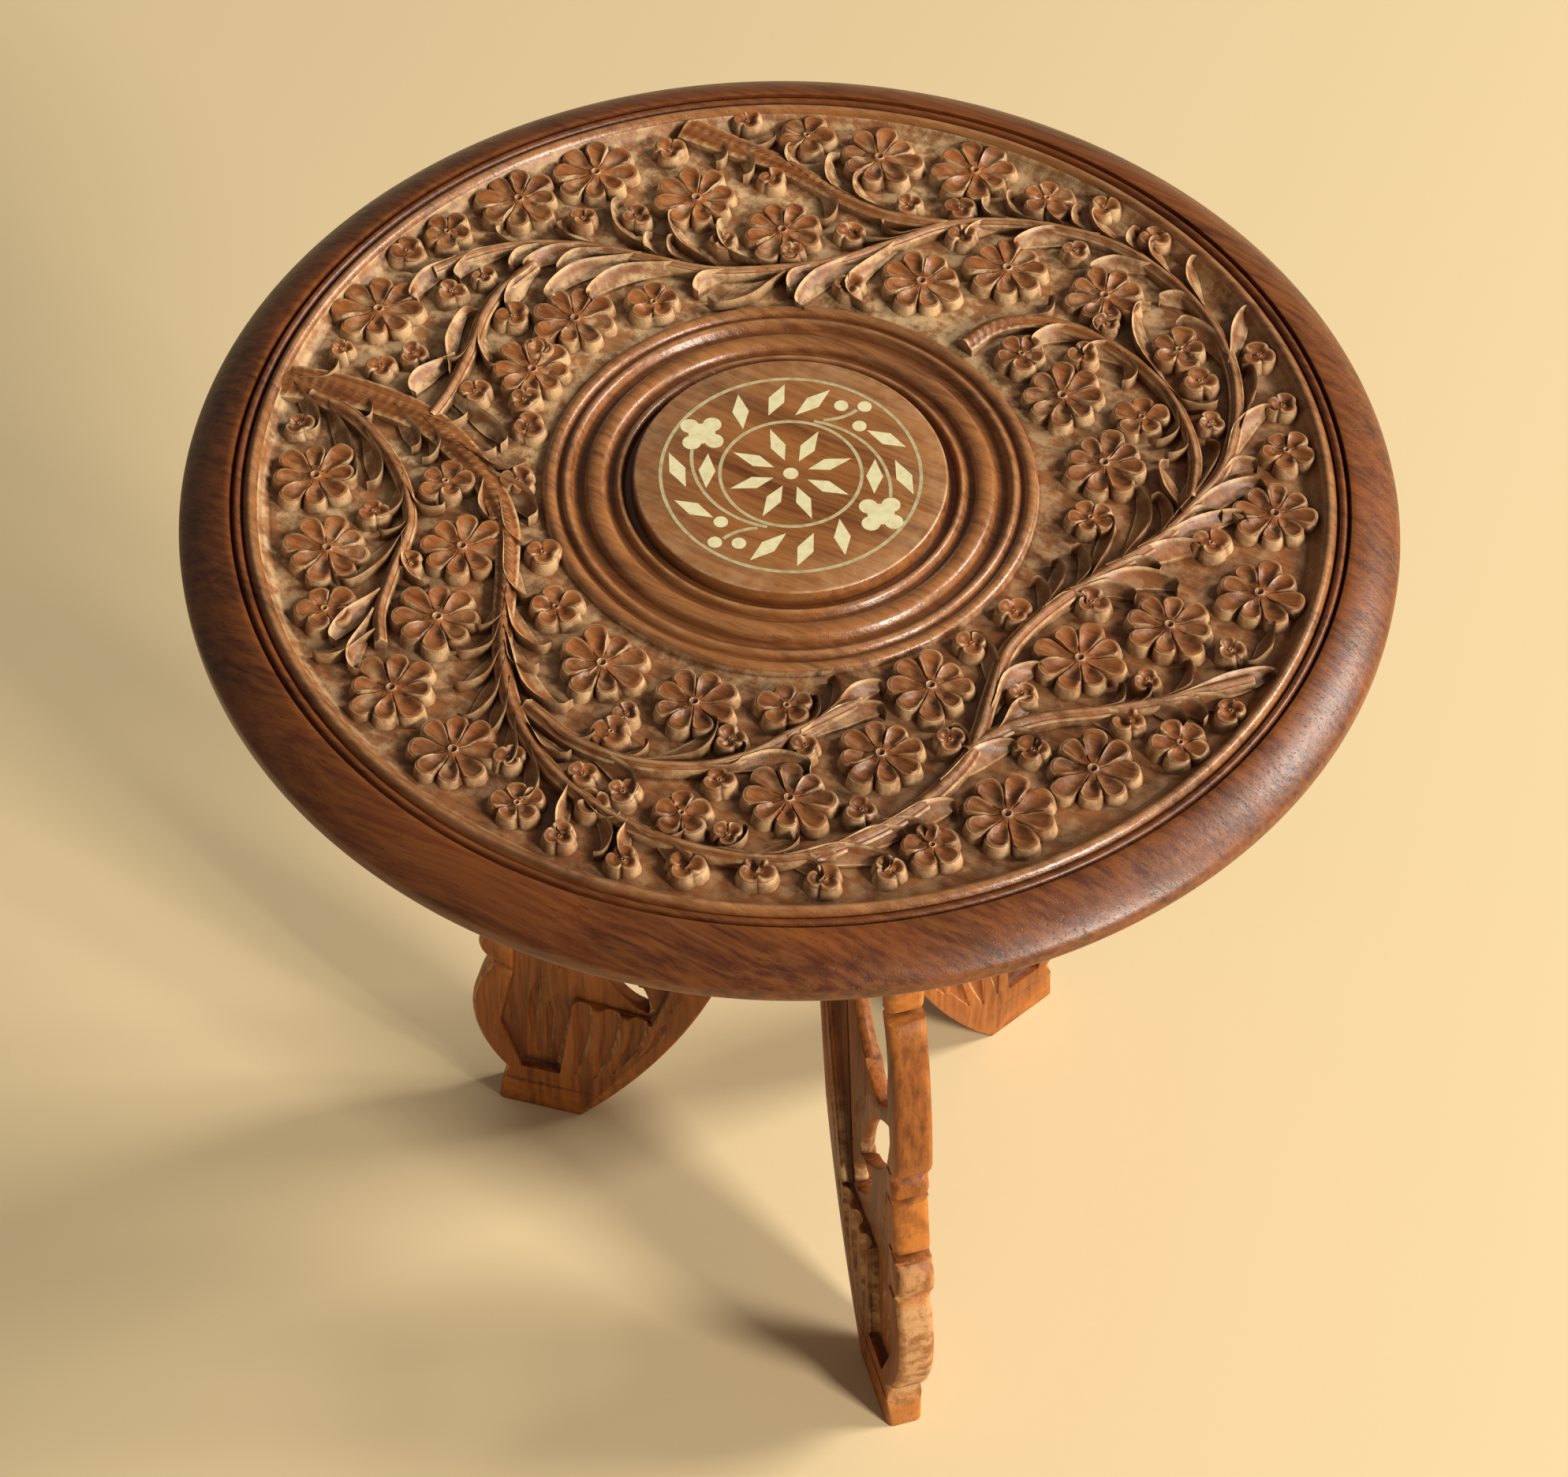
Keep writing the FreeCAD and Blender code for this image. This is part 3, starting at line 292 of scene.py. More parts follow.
def curve_point(points: Sequence[Vector], share: float) -> Vector:
    """Find a point on a smooth curve through all the given points.

    Args:
        points: the points that the curve passes through.
        share: how far along the curve, from 0 to 1.

    Returns:
        The point on the curve.
    """
    last = len(points) - 1
    place = min(share * last, last - 1e-6)
    index = int(place)
    t = place - index
    p1, p2 = points[index], points[index + 1]
    p0 = points[index - 1] if index > 0 else p1 * 2.0 - p2
    p3 = points[index + 2] if index + 2 <= last else p2 * 2.0 - p1
    cubic = p1 * 3.0 - p0 - p2 * 3.0 + p3
    square = p0 * 2.0 - p1 * 5.0 + p2 * 4.0 - p3
    return (p1 * 2.0 + (p2 - p0) * t + square * t * t + cubic * t**3) * 0.5


def drop_slivers(bm: bmesh.types.BMesh) -> None:
    """Merge vertices that lie on each other, and drop edges and faces without size."""
    bmesh.ops.remove_doubles(bm, verts=bm.verts, dist=SLIVER)
    bmesh.ops.dissolve_degenerate(bm, edges=bm.edges, dist=SLIVER)


def make_object(name: str, bm: bmesh.types.BMesh, sharp_deg: float = 30.0) -> bpy.types.Object:
    """Turn a bmesh into an object at the origin, smooth apart from its sharp edges.

    Args:
        name: name of the piece.
        bm: the finished bmesh, which is freed.
        sharp_deg: edges that turn by more than this stay sharp.

    Returns:
        The new object, linked to the scene.
    """
    mesh = bpy.data.meshes.new(name)
    bm.to_mesh(mesh)
    bm.free()
    for polygon in mesh.polygons:
        polygon.use_smooth = True
    mesh.set_sharp_from_angle(angle=math.radians(sharp_deg))
    piece = bpy.data.objects.new(name, mesh)
    bpy.context.scene.collection.objects.link(piece)
    return piece


def spin_profile(bm: bmesh.types.BMesh, profile: Iterable[Point], steps: int) -> List[bmesh.types.BMVert]:
    """Spin a profile of radius and height round the Z axis.

    Args:
        bm: the bmesh that takes the new faces.
        profile: radius and height of each point, in order.
        steps: number of steps in the full turn.

    Returns:
        The vertices of the new surface.
    """
    before = set(bm.verts)
    chain = [bm.verts.new((radius, 0.0, height)) for radius, height in profile]
    edges = [bm.edges.new(pair) for pair in zip(chain, chain[1:])]
    bmesh.ops.spin(
        bm,
        geom=chain + edges,
        cent=(0, 0, 0),
        axis=(0, 0, 1),
        angle=math.tau,
        steps=steps,
        use_merge=True,
        use_duplicate=False,
    )
    fresh = [vert for vert in bm.verts if vert not in before]
    bmesh.ops.remove_doubles(bm, verts=fresh, dist=SLIVER)
    fresh = [vert for vert in bm.verts if vert not in before]
    faces = dict.fromkeys(face for vert in fresh for face in vert.link_faces)
    bmesh.ops.recalc_face_normals(bm, faces=list(faces))
    return fresh


@dataclass
class Ribbon:
    """A tapering strip of relief, or a cutter, that follows a curve on a flat ground, in metres."""

    path: Callable[[float], Vector]
    half_width: Callable[[float], float]
    height: Callable[[float, float], float]
    foot: float
    length_steps: int
    width_steps: int
    look_ahead: float = 0.01

    def build(self, bm: bmesh.types.BMesh) -> List[bmesh.types.BMVert]:
        """Add the strip as a closed solid.

        Args:
            bm: the bmesh that takes the strip.

        Returns:
            The vertices of the strip.
        """
        made = bmesh.ops.create_grid(
            bm, x_segments=self.length_steps, y_segments=self.width_steps, size=0.5
        )["verts"]
        low = min(vert.co.x for vert in made)
        span = max(vert.co.x for vert in made) - low
        columns = self.length_steps - 2
        rows = self.width_steps - 2
        for vert in made:
            column = round((vert.co.x - low) / span * self.length_steps)
            row = round((vert.co.y - low) / span * self.width_steps)
            share = min(max((column - 1) / columns, 0.0), 1.0)
            side = min(max(2.0 * (row - 1) / rows - 1.0, -1.0), 1.0)
            on_edge = column in (0, self.length_steps) or row in (0, self.width_steps)
            here = self.path(share)
            behind = self.path(max(share - self.look_ahead, 0.0))
            ahead = self.path(min(share + self.look_ahead, 1.0)) - behind
            across = Vector((-ahead.y, ahead.x, 0.0)).normalized()
            point = here + across * self.half_width(share) * side
            point.z = self.foot if on_edge else self.height(share, side)
            vert.co = point
        rim = dict.fromkeys(edge for vert in made for edge in vert.link_edges if edge.is_boundary)
        bmesh.ops.edgeloop_fill(bm, edges=list(rim))
        faces = dict.fromkeys(face for vert in made for face in vert.link_faces)
        bmesh.ops.recalc_face_normals(bm, faces=list(faces))
        return made


# Finishes


class NodeSketch:
    """Adds nodes to a tree and links them, in a few words."""

    def __init__(self, tree: bpy.types.NodeTree) -> None:
        """Start on an existing tree."""
        self.tree = tree

    def add(self, kind: str, **settings: object) -> bpy.types.Node:
        """Add a node.

        Args:
            kind: the node's type, without the word ShaderNode.
            settings: properties of the node to set.

        Returns:
            The new node.
        """
        node = self.tree.nodes.new(kind if kind.startswith("NodeGroup") else "ShaderNode" + kind)
        for key, value in settings.items():
            setattr(node, key, value)
        return node

    def plug(self, socket: bpy.types.NodeSocket, value: object) -> None:
        """Link a socket's value into an input, or set the input to a plain value.

        Args:
            socket: the input to fill.
            value: a socket to link from, or a plain value.
        """
        if isinstance(value, bpy.types.NodeSocket):
            self.tree.links.new(value, socket)
        else:
            socket.default_value = value

    def feed(self, node: bpy.types.Node, **inputs: object) -> bpy.types.Node:
        """Fill a node's inputs by name, with underscores for spaces.

        Args:
            node: the node to feed.
            inputs: a socket to link from, or a plain value, for each name.

        Returns:
            The same node.
        """
        for key, value in inputs.items():
            self.plug(node.inputs[key.replace("_", " ")], value)
        return node

    def math(self, operation: str, *values: object) -> bpy.types.NodeSocket:
        """Add a math node.

        Args:
            operation: what it does.
            values: its inputs in order, as sockets or plain values.

        Returns:
            Its result.
        """
        node = self.add("Math", operation=operation)
        for socket, value in zip(node.inputs, values):
            self.plug(socket, value)
        return node.outputs[0]

    def ramp(self, value: bpy.types.NodeSocket, low: float, high: float) -> bpy.types.NodeSocket:
        """Map a value smoothly onto 0 to 1.

        Args:
            value: the value to map.
            low: where the result is 0.
            high: where the result is 1; it may lie below low.

        Returns:
            The result.
        """
        node = self.add("MapRange", interpolation_type="SMOOTHSTEP")
        self.feed(node, Value=value, From_Min=low, From_Max=high, To_Min=0.0, To_Max=1.0)
        return node.outputs["Result"]

    def mix(self, share: object, first: object, second: object) -> bpy.types.NodeSocket:
        """Mix two colours.

        Args:
            share: share of the second colour.
            first: first colour, as a socket or a plain value.
            second: second colour, as a socket or a plain value.

        Returns:
            The mixed colour.
        """
        node = self.add("Mix", data_type="RGBA")
        for index, value in ((0, share), (6, first), (7, second)):
            self.plug(node.inputs[index], value)
        return node.outputs[2]

    def mapping(self, vector: bpy.types.NodeSocket, **settings: object) -> bpy.types.NodeSocket:
        """Add a mapping node on a vector and return the new vector."""
        node = self.add("Mapping", vector_type="POINT")
        return self.feed(node, Vector=vector, **settings).outputs["Vector"]

    def noise(
        self, vector: bpy.types.NodeSocket, scale: float, detail: float, rough: float = 0.5
    ) -> bpy.types.NodeSocket:
        """Add a noise texture.

        Args:
            vector: where it is read.
            scale: how often it repeats.
            detail: levels of finer noise.
            rough: strength of the finer levels.

        Returns:
            Its value.
        """
        node = self.add("TexNoise")
        self.feed(node, Vector=vector, Scale=scale, Detail=detail, Roughness=rough)
        return node.outputs["Fac"]


@dataclass(frozen=True)
class Mark:
    """One kind of mark in timber: repeats per millimetre along and across, noise and contrast."""

    along: float
    across: float
    detail: float
    rough: float
    low: float
    high: float


class SharedEffects:
    """Node groups that several finishes place in their own trees."""

    marks: Dict[str, Mark] = {
        "Figure": Mark(0.008, 0.085, 3.0, 0.55, 0.30, 0.70),
        "Streak": Mark(0.02, 0.55, 5.0, 0.62, 0.28, 0.72),
        "Pore": Mark(0.10, 2.4, 2.0, 0.5, 0.60, 0.74),
    }
    # Slow bends of the grain: repeats per millimetre, reach in millimetres
    bend_scale: float = 0.02
    bend_reach: float = 6.0
    mottle_scale: float = 0.22
    patch_range: Point = (0.35, 0.68)
    least_patch: float = 0.35
    # Sharpness at which an edge starts to be rubbed and painted as highlit, the same for a pit and its
    # painted shade, and the openness below which a hollow gets painted shade
    edge_range: Point = (0.505, 0.58)
    pit_range: Point = (0.49, 0.42)
    open_range: Point = (0.80, 0.20)

    def __init__(self) -> None:
        """Build the groups once."""
        self.grain = self._grain()
        self.wear_and_light = self._wear_and_light()

    @staticmethod
    def _start(
        name: str, inputs: Dict[str, str], outputs: Sequence[str]
    ) -> Tuple[NodeSketch, bpy.types.Node, bpy.types.Node]:
        """Make an empty group with its sockets and its ends.

        Args:
            name: name of the group.
            inputs: socket type for each input name.
            outputs: names of the value outputs.

        Returns:
            A sketch on the tree, its input node and its output node.
        """
        tree = bpy.data.node_groups.new(name, "ShaderNodeTree")
        for label, kind in inputs.items():
            tree.interface.new_socket(label, in_out="INPUT", socket_type=kind)
        for label in outputs:
            tree.interface.new_socket(label, in_out="OUTPUT", socket_type="NodeSocketFloat")
        sketch = NodeSketch(tree)
        return sketch, sketch.add("NodeGroupInput"), sketch.add("NodeGroupOutput")

    def _grain(self) -> bpy.types.NodeTree:
        """Timber grain: broad figure, fine streaks and pores along the first axis, in millimetres.

        Returns:
            The group.
        """
        sketch, start, end = self._start("timber grain", {"Vector": "NodeSocketVector"}, tuple(self.marks))
        vector = start.outputs["Vector"]
        bend = sketch.add("TexNoise")
        sketch.feed(bend, Vector=vector, Scale=self.bend_scale, Detail=2.0)
        sway = sketch.add("VectorMath", operation="MULTIPLY_ADD")
        for socket, value in zip(sway.inputs, (bend.outputs["Color"], (self.bend_reach,) * 3, vector)):
            sketch.plug(socket, value)
        for name, mark in self.marks.items():
            stretched = sketch.mapping(sway.outputs[0], Scale=(mark.along, mark.across, mark.across))
            value = sketch.noise(stretched, 1.0, mark.detail, mark.rough)
            sketch.feed(end, **{name: sketch.ramp(value, mark.low, mark.high)})
        return sketch.tree

    def _wear_and_light(self) -> bpy.types.NodeTree:
        """Worn edges, partly a painted highlight, and painted shade in the hollows, broken up by a mottle.

        Returns:
            The group.
        """
        inputs = dict.fromkeys(("Edge", "Hollow", "Reach"), "NodeSocketFloat")
        inputs["Vector"] = "NodeSocketVector"
        sketch, start, end = self._start("wear and painted light", inputs, ("Rubbed", "Grime", "Mottle"))
        point = sketch.add("NewGeometry").outputs["Pointiness"]
        mottle = sketch.noise(start.outputs["Vector"], self.mottle_scale, 5.0, 0.6)
        patch = sketch.math("ADD", sketch.ramp(mottle, *self.patch_range), self.least_patch)
        # Sharp convex edges: rubbed wear, partly a painted highlight
        bare_or_highlit = sketch.math("MULTIPLY", sketch.ramp(point, *self.edge_range), start.outputs["Edge"])
        # Painted shade: ambient occlusion and sharp creases darken the hollows
        shelter = sketch.add("AmbientOcclusion", samples=6)
        sketch.feed(shelter, Distance=start.outputs["Reach"])
        pocket = sketch.ramp(shelter.outputs["AO"], *self.open_range)
        pit = sketch.math("MAXIMUM", sketch.ramp(point, *self.pit_range), pocket)
        sketch.feed(
            end,
            Rubbed=sketch.math("MULTIPLY", bare_or_highlit, patch),
            Grime=sketch.math("MULTIPLY", pit, start.outputs["Hollow"]),
            Mottle=mottle,
        )
        return sketch.tree


class Grain(Enum):
    """How the grain runs in a piece: rotation of the pattern about X, Y and Z, in degrees."""

    ACROSS_TOP = (0.0, 0.0, 27.0)
    UPRIGHT = (0.0, 90.0, 0.0)


def start_material(name: str) -> Tuple[bpy.types.Material, NodeSketch, bpy.types.Node]:
    """Make a material with nodes.

    Args:
        name: name of the material.

    Returns:
        The material, a sketch on its tree and its shader.
    """
    material = bpy.data.materials.new(name)
    material.use_nodes = True
    tree = material.node_tree
    return material, NodeSketch(tree), tree.nodes["Principled BSDF"]


@dataclass(frozen=True)
class TimberFinish:
    """Waxed dark red-brown hardwood, dusty where it is carved away."""

    name: str
    grain: Grain
    dark: Colour
    middle: Colour
    light: Colour
    raw: Colour
    edge: Colour
    # Heights between which the dust sets in, and its share on low ground and on steep walls
    raw_top: float = 296.7
    raw_bottom: float = 294.4
    raw_share: float = 0.0
    raw_walls: float = 0.0
    wall_range: Point = (0.80, 0.35)
    dust_range: Point = (0.40, 0.62)
    least_dust: float = 0.22
    roughness: float = 0.38
    specular: float = 0.50
    # Strength of the worn edges with their painted highlight, of the painted shade in hollows, and its
    # reach in millimetres
    rubbed_highlight: float = 0.35
    painted_hollow_shade: float = 0.70
    shelter: float = 4.5
    mark_share: float = 0.55
    # Share of painted shade, darker and less dusty, that grows towards the near right side of the top
    side_shade: float = 0.0
    side_shade_way: Triple = (0.55, -0.83, 0.0)
    side_shade_range: Point = (-95.0, 110.0)
    side_shade_dust_cut: float = 2.4
    mottle_gloss: float = 0.22
    dust_gloss: float = 0.35
    pore_depth: float = 0.6
    streak_rise: float = 0.35
    fuzz_rise: float = 2.2
    fuzz_turn: float = 0.6
    fuzz_scale: Triple = (0.55, 2.6, 1.0)
    bump_strength: float = 0.40
    bump_depth: float = 0.35
    coat: float = 0.08
    coat_roughness: float = 0.28

    def build(self, effects: SharedEffects) -> bpy.types.Material:
        """Make the material.

        Args:
            effects: the shared node groups.

        Returns:
            The material.
        """
        material, sketch, shader = start_material(self.name)
        coords = sketch.add("TexCoord")
        spin = tuple(math.radians(angle) for angle in self.grain.value)
        scaled = sketch.mapping(coords.outputs["Object"], Rotation=spin, Scale=(1.0 / MM,) * 3)
        grain = sketch.add("Group", node_tree=effects.grain)
        sketch.feed(grain, Vector=scaled)
        wear_and_light = sketch.add("Group", node_tree=effects.wear_and_light)
        sketch.feed(wear_and_light, Vector=scaled, Edge=self.rubbed_highlight, Hollow=self.painted_hollow_shade, Reach=self.shelter * MM)
        colour = sketch.mix(grain.outputs["Figure"], self.dark, self.middle)
        for mark, tint in (("Streak", self.light), ("Pore", self.dark)):
            share = sketch.math("MULTIPLY", grain.outputs[mark], self.mark_share)
            colour = sketch.mix(share, colour, tint)
        dust = self.dust(sketch, coords, wear_and_light.outputs["Mottle"])
        # Painted shade: darker and with less dust towards the near right side of the top
        if self.side_shade:
            shaded_side = self.shaded_side(sketch, coords)
            left = sketch.math("SUBTRACT", 1.0, sketch.math("MULTIPLY", shaded_side, self.side_shade_dust_cut))
            dust = sketch.math("MULTIPLY", dust, left)
            colour = sketch.mix(shaded_side, sketch.mix(dust, colour, self.raw), self.dark)
        else:
            colour = sketch.mix(dust, colour, self.raw)
        # Edges lightened towards the edge tone: worn wood, partly a painted highlight
        colour = sketch.mix(wear_and_light.outputs["Rubbed"], colour, self.edge)
        # Painted shade: hollows and creases are mixed towards the dark tone
        colour = sketch.mix(wear_and_light.outputs["Grime"], colour, self.dark)
        base = self.roughness - self.mottle_gloss / 2.0
        rough = sketch.math("MULTIPLY_ADD", wear_and_light.outputs["Mottle"], self.mottle_gloss, base)
        rough = sketch.math("ADD", rough, sketch.math("MULTIPLY", dust, self.dust_gloss))
        bump = sketch.add("Bump")
        height = self.height(sketch, grain, scaled, dust)
        sketch.feed(bump, Strength=self.bump_strength, Distance=self.bump_depth * MM, Height=height)
        sketch.feed(shader, Base_Color=colour, Roughness=rough, Normal=bump.outputs["Normal"])
        sketch.feed(shader, Specular_IOR_Level=self.specular)
        sketch.feed(shader, Coat_Weight=self.coat, Coat_Roughness=self.coat_roughness)
        return material

    def dust(
        self, sketch: NodeSketch, coords: bpy.types.Node, mottle: bpy.types.NodeSocket
    ) -> bpy.types.NodeSocket:
        """Where the wax never reached: low ground and steep walls, broken up by the mottle.

        Args:
            sketch: the material's tree.
            coords: the texture coordinates.
            mottle: an uneven value over the surface.

        Returns:
            The mask.
        """
        level = sketch.add("SeparateXYZ")
        sketch.feed(level, Vector=coords.outputs["Object"])
        facing = sketch.add("SeparateXYZ")
        sketch.feed(facing, Vector=coords.outputs["Normal"])
        depth = sketch.ramp(level.outputs["Z"], self.raw_top * MM, self.raw_bottom * MM)
        steep = sketch.ramp(sketch.math("ABSOLUTE", facing.outputs["Z"]), *self.wall_range)
        low = sketch.math("MULTIPLY", depth, self.raw_share)
        wall = sketch.math("MULTIPLY", steep, self.raw_walls)
        both = sketch.math("MAXIMUM", low, wall)
        patch = sketch.math("ADD", sketch.ramp(mottle, *self.dust_range), self.least_dust)
        return sketch.math("MULTIPLY", both, patch)

    def shaded_side(self, sketch: NodeSketch, coords: bpy.types.Node) -> bpy.types.NodeSocket:
        """The share of painted shade, which grows towards one side of the top.

        Args:
            sketch: the material's tree.
            coords: the texture coordinates.

        Returns:
            The mask.
        """
        across = sketch.add("VectorMath", operation="DOT_PRODUCT")
        sketch.plug(across.inputs[0], coords.outputs["Object"])
        sketch.plug(across.inputs[1], self.side_shade_way)
        low, high = self.side_shade_range
        grown = sketch.ramp(across.outputs["Value"], low * MM, high * MM)
        return sketch.math("MULTIPLY", grown, self.side_shade)

    def height(
        self,
        sketch: NodeSketch,
        grain: bpy.types.Node,
        scaled: bpy.types.NodeSocket,
        dust: bpy.types.NodeSocket,
    ) -> bpy.types.NodeSocket:
        """Fine unevenness: open pores, raised streaks, and tool marks where it is dusty.

        Args:
            sketch: the material's tree.
            grain: the placed grain group.
            scaled: place on the piece in millimetres.
            dust: where the wax never reached.

        Returns:
            The height.
        """
        pores = sketch.math("MULTIPLY", grain.outputs["Pore"], -self.pore_depth)
        streaks = sketch.math("MULTIPLY", grain.outputs["Streak"], self.streak_rise)
        hatch = sketch.mapping(scaled, Rotation=(0.0, 0.0, self.fuzz_turn), Scale=self.fuzz_scale)
        fuzz = sketch.noise(hatch, 1.0, 4.0, 0.7)
        tools = sketch.math("MULTIPLY", fuzz, sketch.math("MULTIPLY", dust, self.fuzz_rise))
        return sketch.math("ADD", sketch.math("ADD", pores, streaks), tools)


@dataclass(frozen=True)
class PaleFinish:
    """Pale inlay or dull brass, sanded level: faint mottle and fine scratches."""

    name: str
    light: Colour
    shade: Colour
    metallic: float
    roughness: float
    cloud_scale: float = 0.45
    cloud_range: Point = (0.35, 0.75)
    cloud_gloss: float = 0.25
    gloss_shift: float = 0.12
    scratch_deg: float = 35.0
    scratch_scale: Triple = (0.15, 3.2, 1.0)
    scratch_range: Point = (0.60, 0.75)
    scratch_share: float = 0.35
    bump_strength: float = 0.18
    bump_depth: float = 0.1

    def build(self) -> bpy.types.Material:
        """Make the material.

        Returns:
            The material.
        """
        material, sketch, shader = start_material(self.name)
        scaled = sketch.mapping(sketch.add("TexCoord").outputs["Object"], Scale=(1.0 / MM,) * 3)
        cloud = sketch.noise(scaled, self.cloud_scale, 4.0, 0.6)
        turn = (0.0, 0.0, math.radians(self.scratch_deg))
        lines = sketch.noise(sketch.mapping(scaled, Rotation=turn, Scale=self.scratch_scale), 1.0, 2.0)
        colour = sketch.mix(sketch.ramp(cloud, *self.cloud_range), self.light, self.shade)
        faint = sketch.math("MULTIPLY", sketch.ramp(lines, *self.scratch_range), self.scratch_share)
        colour = sketch.mix(faint, colour, self.shade)
        rough = sketch.math("MULTIPLY_ADD", cloud, self.cloud_gloss, self.roughness - self.gloss_shift)
        bump = sketch.add("Bump")
        sketch.feed(bump, Strength=self.bump_strength, Distance=self.bump_depth * MM, Height=lines)
        sketch.feed(shader, Base_Color=colour, Roughness=rough, Normal=bump.outputs["Normal"])
        sketch.feed(shader, Metallic=self.metallic)
        return material


@dataclass
class Finishes:
    """Every finish of the stand, built once."""

    effects: SharedEffects = field(default_factory=SharedEffects)

    def __post_init__(self) -> None:
        """Build the materials."""
        waxed = TimberFinish(
            name="waxed dark rim",
            grain=Grain.ACROSS_TOP,
            dark=(0.050, 0.0085, 0.0012, 1.0),
            middle=(0.150, 0.033, 0.005, 1.0),
            light=(0.320, 0.105, 0.021, 1.0),
            raw=(0.620, 0.430, 0.220, 1.0),
            edge=(0.320, 0.105, 0.021, 1.0),
        )
        self.rim = waxed.build(self.effects)
        golden = replace(
            waxed,
            name="waxed turned rings",
            dark=(0.105, 0.026, 0.0055, 1.0),
            middle=(0.290, 0.096, 0.021, 1.0),
            light=(0.510, 0.215, 0.063, 1.0),
            # Pale edge tone: rubbed wear, and a painted highlight on the ridge crests
            edge=(0.740, 0.490, 0.265, 1.0),
            roughness=0.29,
            specular=0.60,
            rubbed_highlight=1.00,
            painted_hollow_shade=0.95,
            shelter=6.0,
        )
        self.turned = golden.build(self.effects)
        self.carved = replace(
            golden,
            name="carved and dusty ring",
            dark=(0.075, 0.016, 0.0024, 1.0),
            middle=(0.270, 0.074, 0.014, 1.0),
            light=(0.520, 0.200, 0.054, 1.0),
            raw=(0.775, 0.552, 0.292, 1.0),
            edge=(0.715, 0.455, 0.222, 1.0),
            roughness=0.42,
            specular=0.40,
            raw_top=296.2,
            raw_share=0.66,
            raw_walls=0.95,
            rubbed_highlight=0.90,
            painted_hollow_shade=0.85,
            shelter=7.0,
            # Painted shade on the near right side of the ring
            side_shade=0.26,
        ).build(self.effects)
        oiled = TimberFinish(
            name="oiled leg panels",
            grain=Grain.UPRIGHT,
            dark=(0.080, 0.014, 0.0014, 1.0),
            middle=(0.255, 0.060, 0.007, 1.0),
            light=(0.520, 0.175, 0.028, 1.0),
            raw=(0.720, 0.450, 0.215, 1.0),
            edge=(0.520, 0.175, 0.028, 1.0),
            roughness=0.52,
            specular=0.30,
            rubbed_highlight=0.70,
        )
        self.leg = oiled.build(self.effects)
        self.worn = replace(
            oiled, name="worn outer edges", raw_top=96.0, raw_bottom=78.0, raw_share=0.62, rubbed_highlight=0.9
        ).build(self.effects)
        self.pale = PaleFinish(
            "bone pale inlay", (0.860, 0.790, 0.480, 1.0), (0.720, 0.620, 0.330, 1.0), 0.0, 0.45
        ).build()
        self.wire = PaleFinish(
            "inlaid brass wire", (0.830, 0.720, 0.400, 1.0), (0.560, 0.440, 0.200, 1.0), 0.35, 0.36
        ).build()
        self.brass = PaleFinish(
            "dull hinge brass", (0.560, 0.400, 0.170, 1.0), (0.300, 0.190, 0.070, 1.0), 1.0, 0.40
        ).build()


def dress(piece: bpy.types.Object, material: bpy.types.Material) -> None:
    """Give a piece one material in place of what it had."""
    piece.data.materials.clear()
    piece.data.materials.append(material)


# The round top


class Zone(Enum):
    """Zones of the board, by the number of their material."""

    CARVED = 0
    RIM = 1
    TURNED = 2


class Bloom(Enum):
    """Kinds of carved flower, by their number of petals."""

    LARGE = 8
    SMALL = 5
    BUD = 3


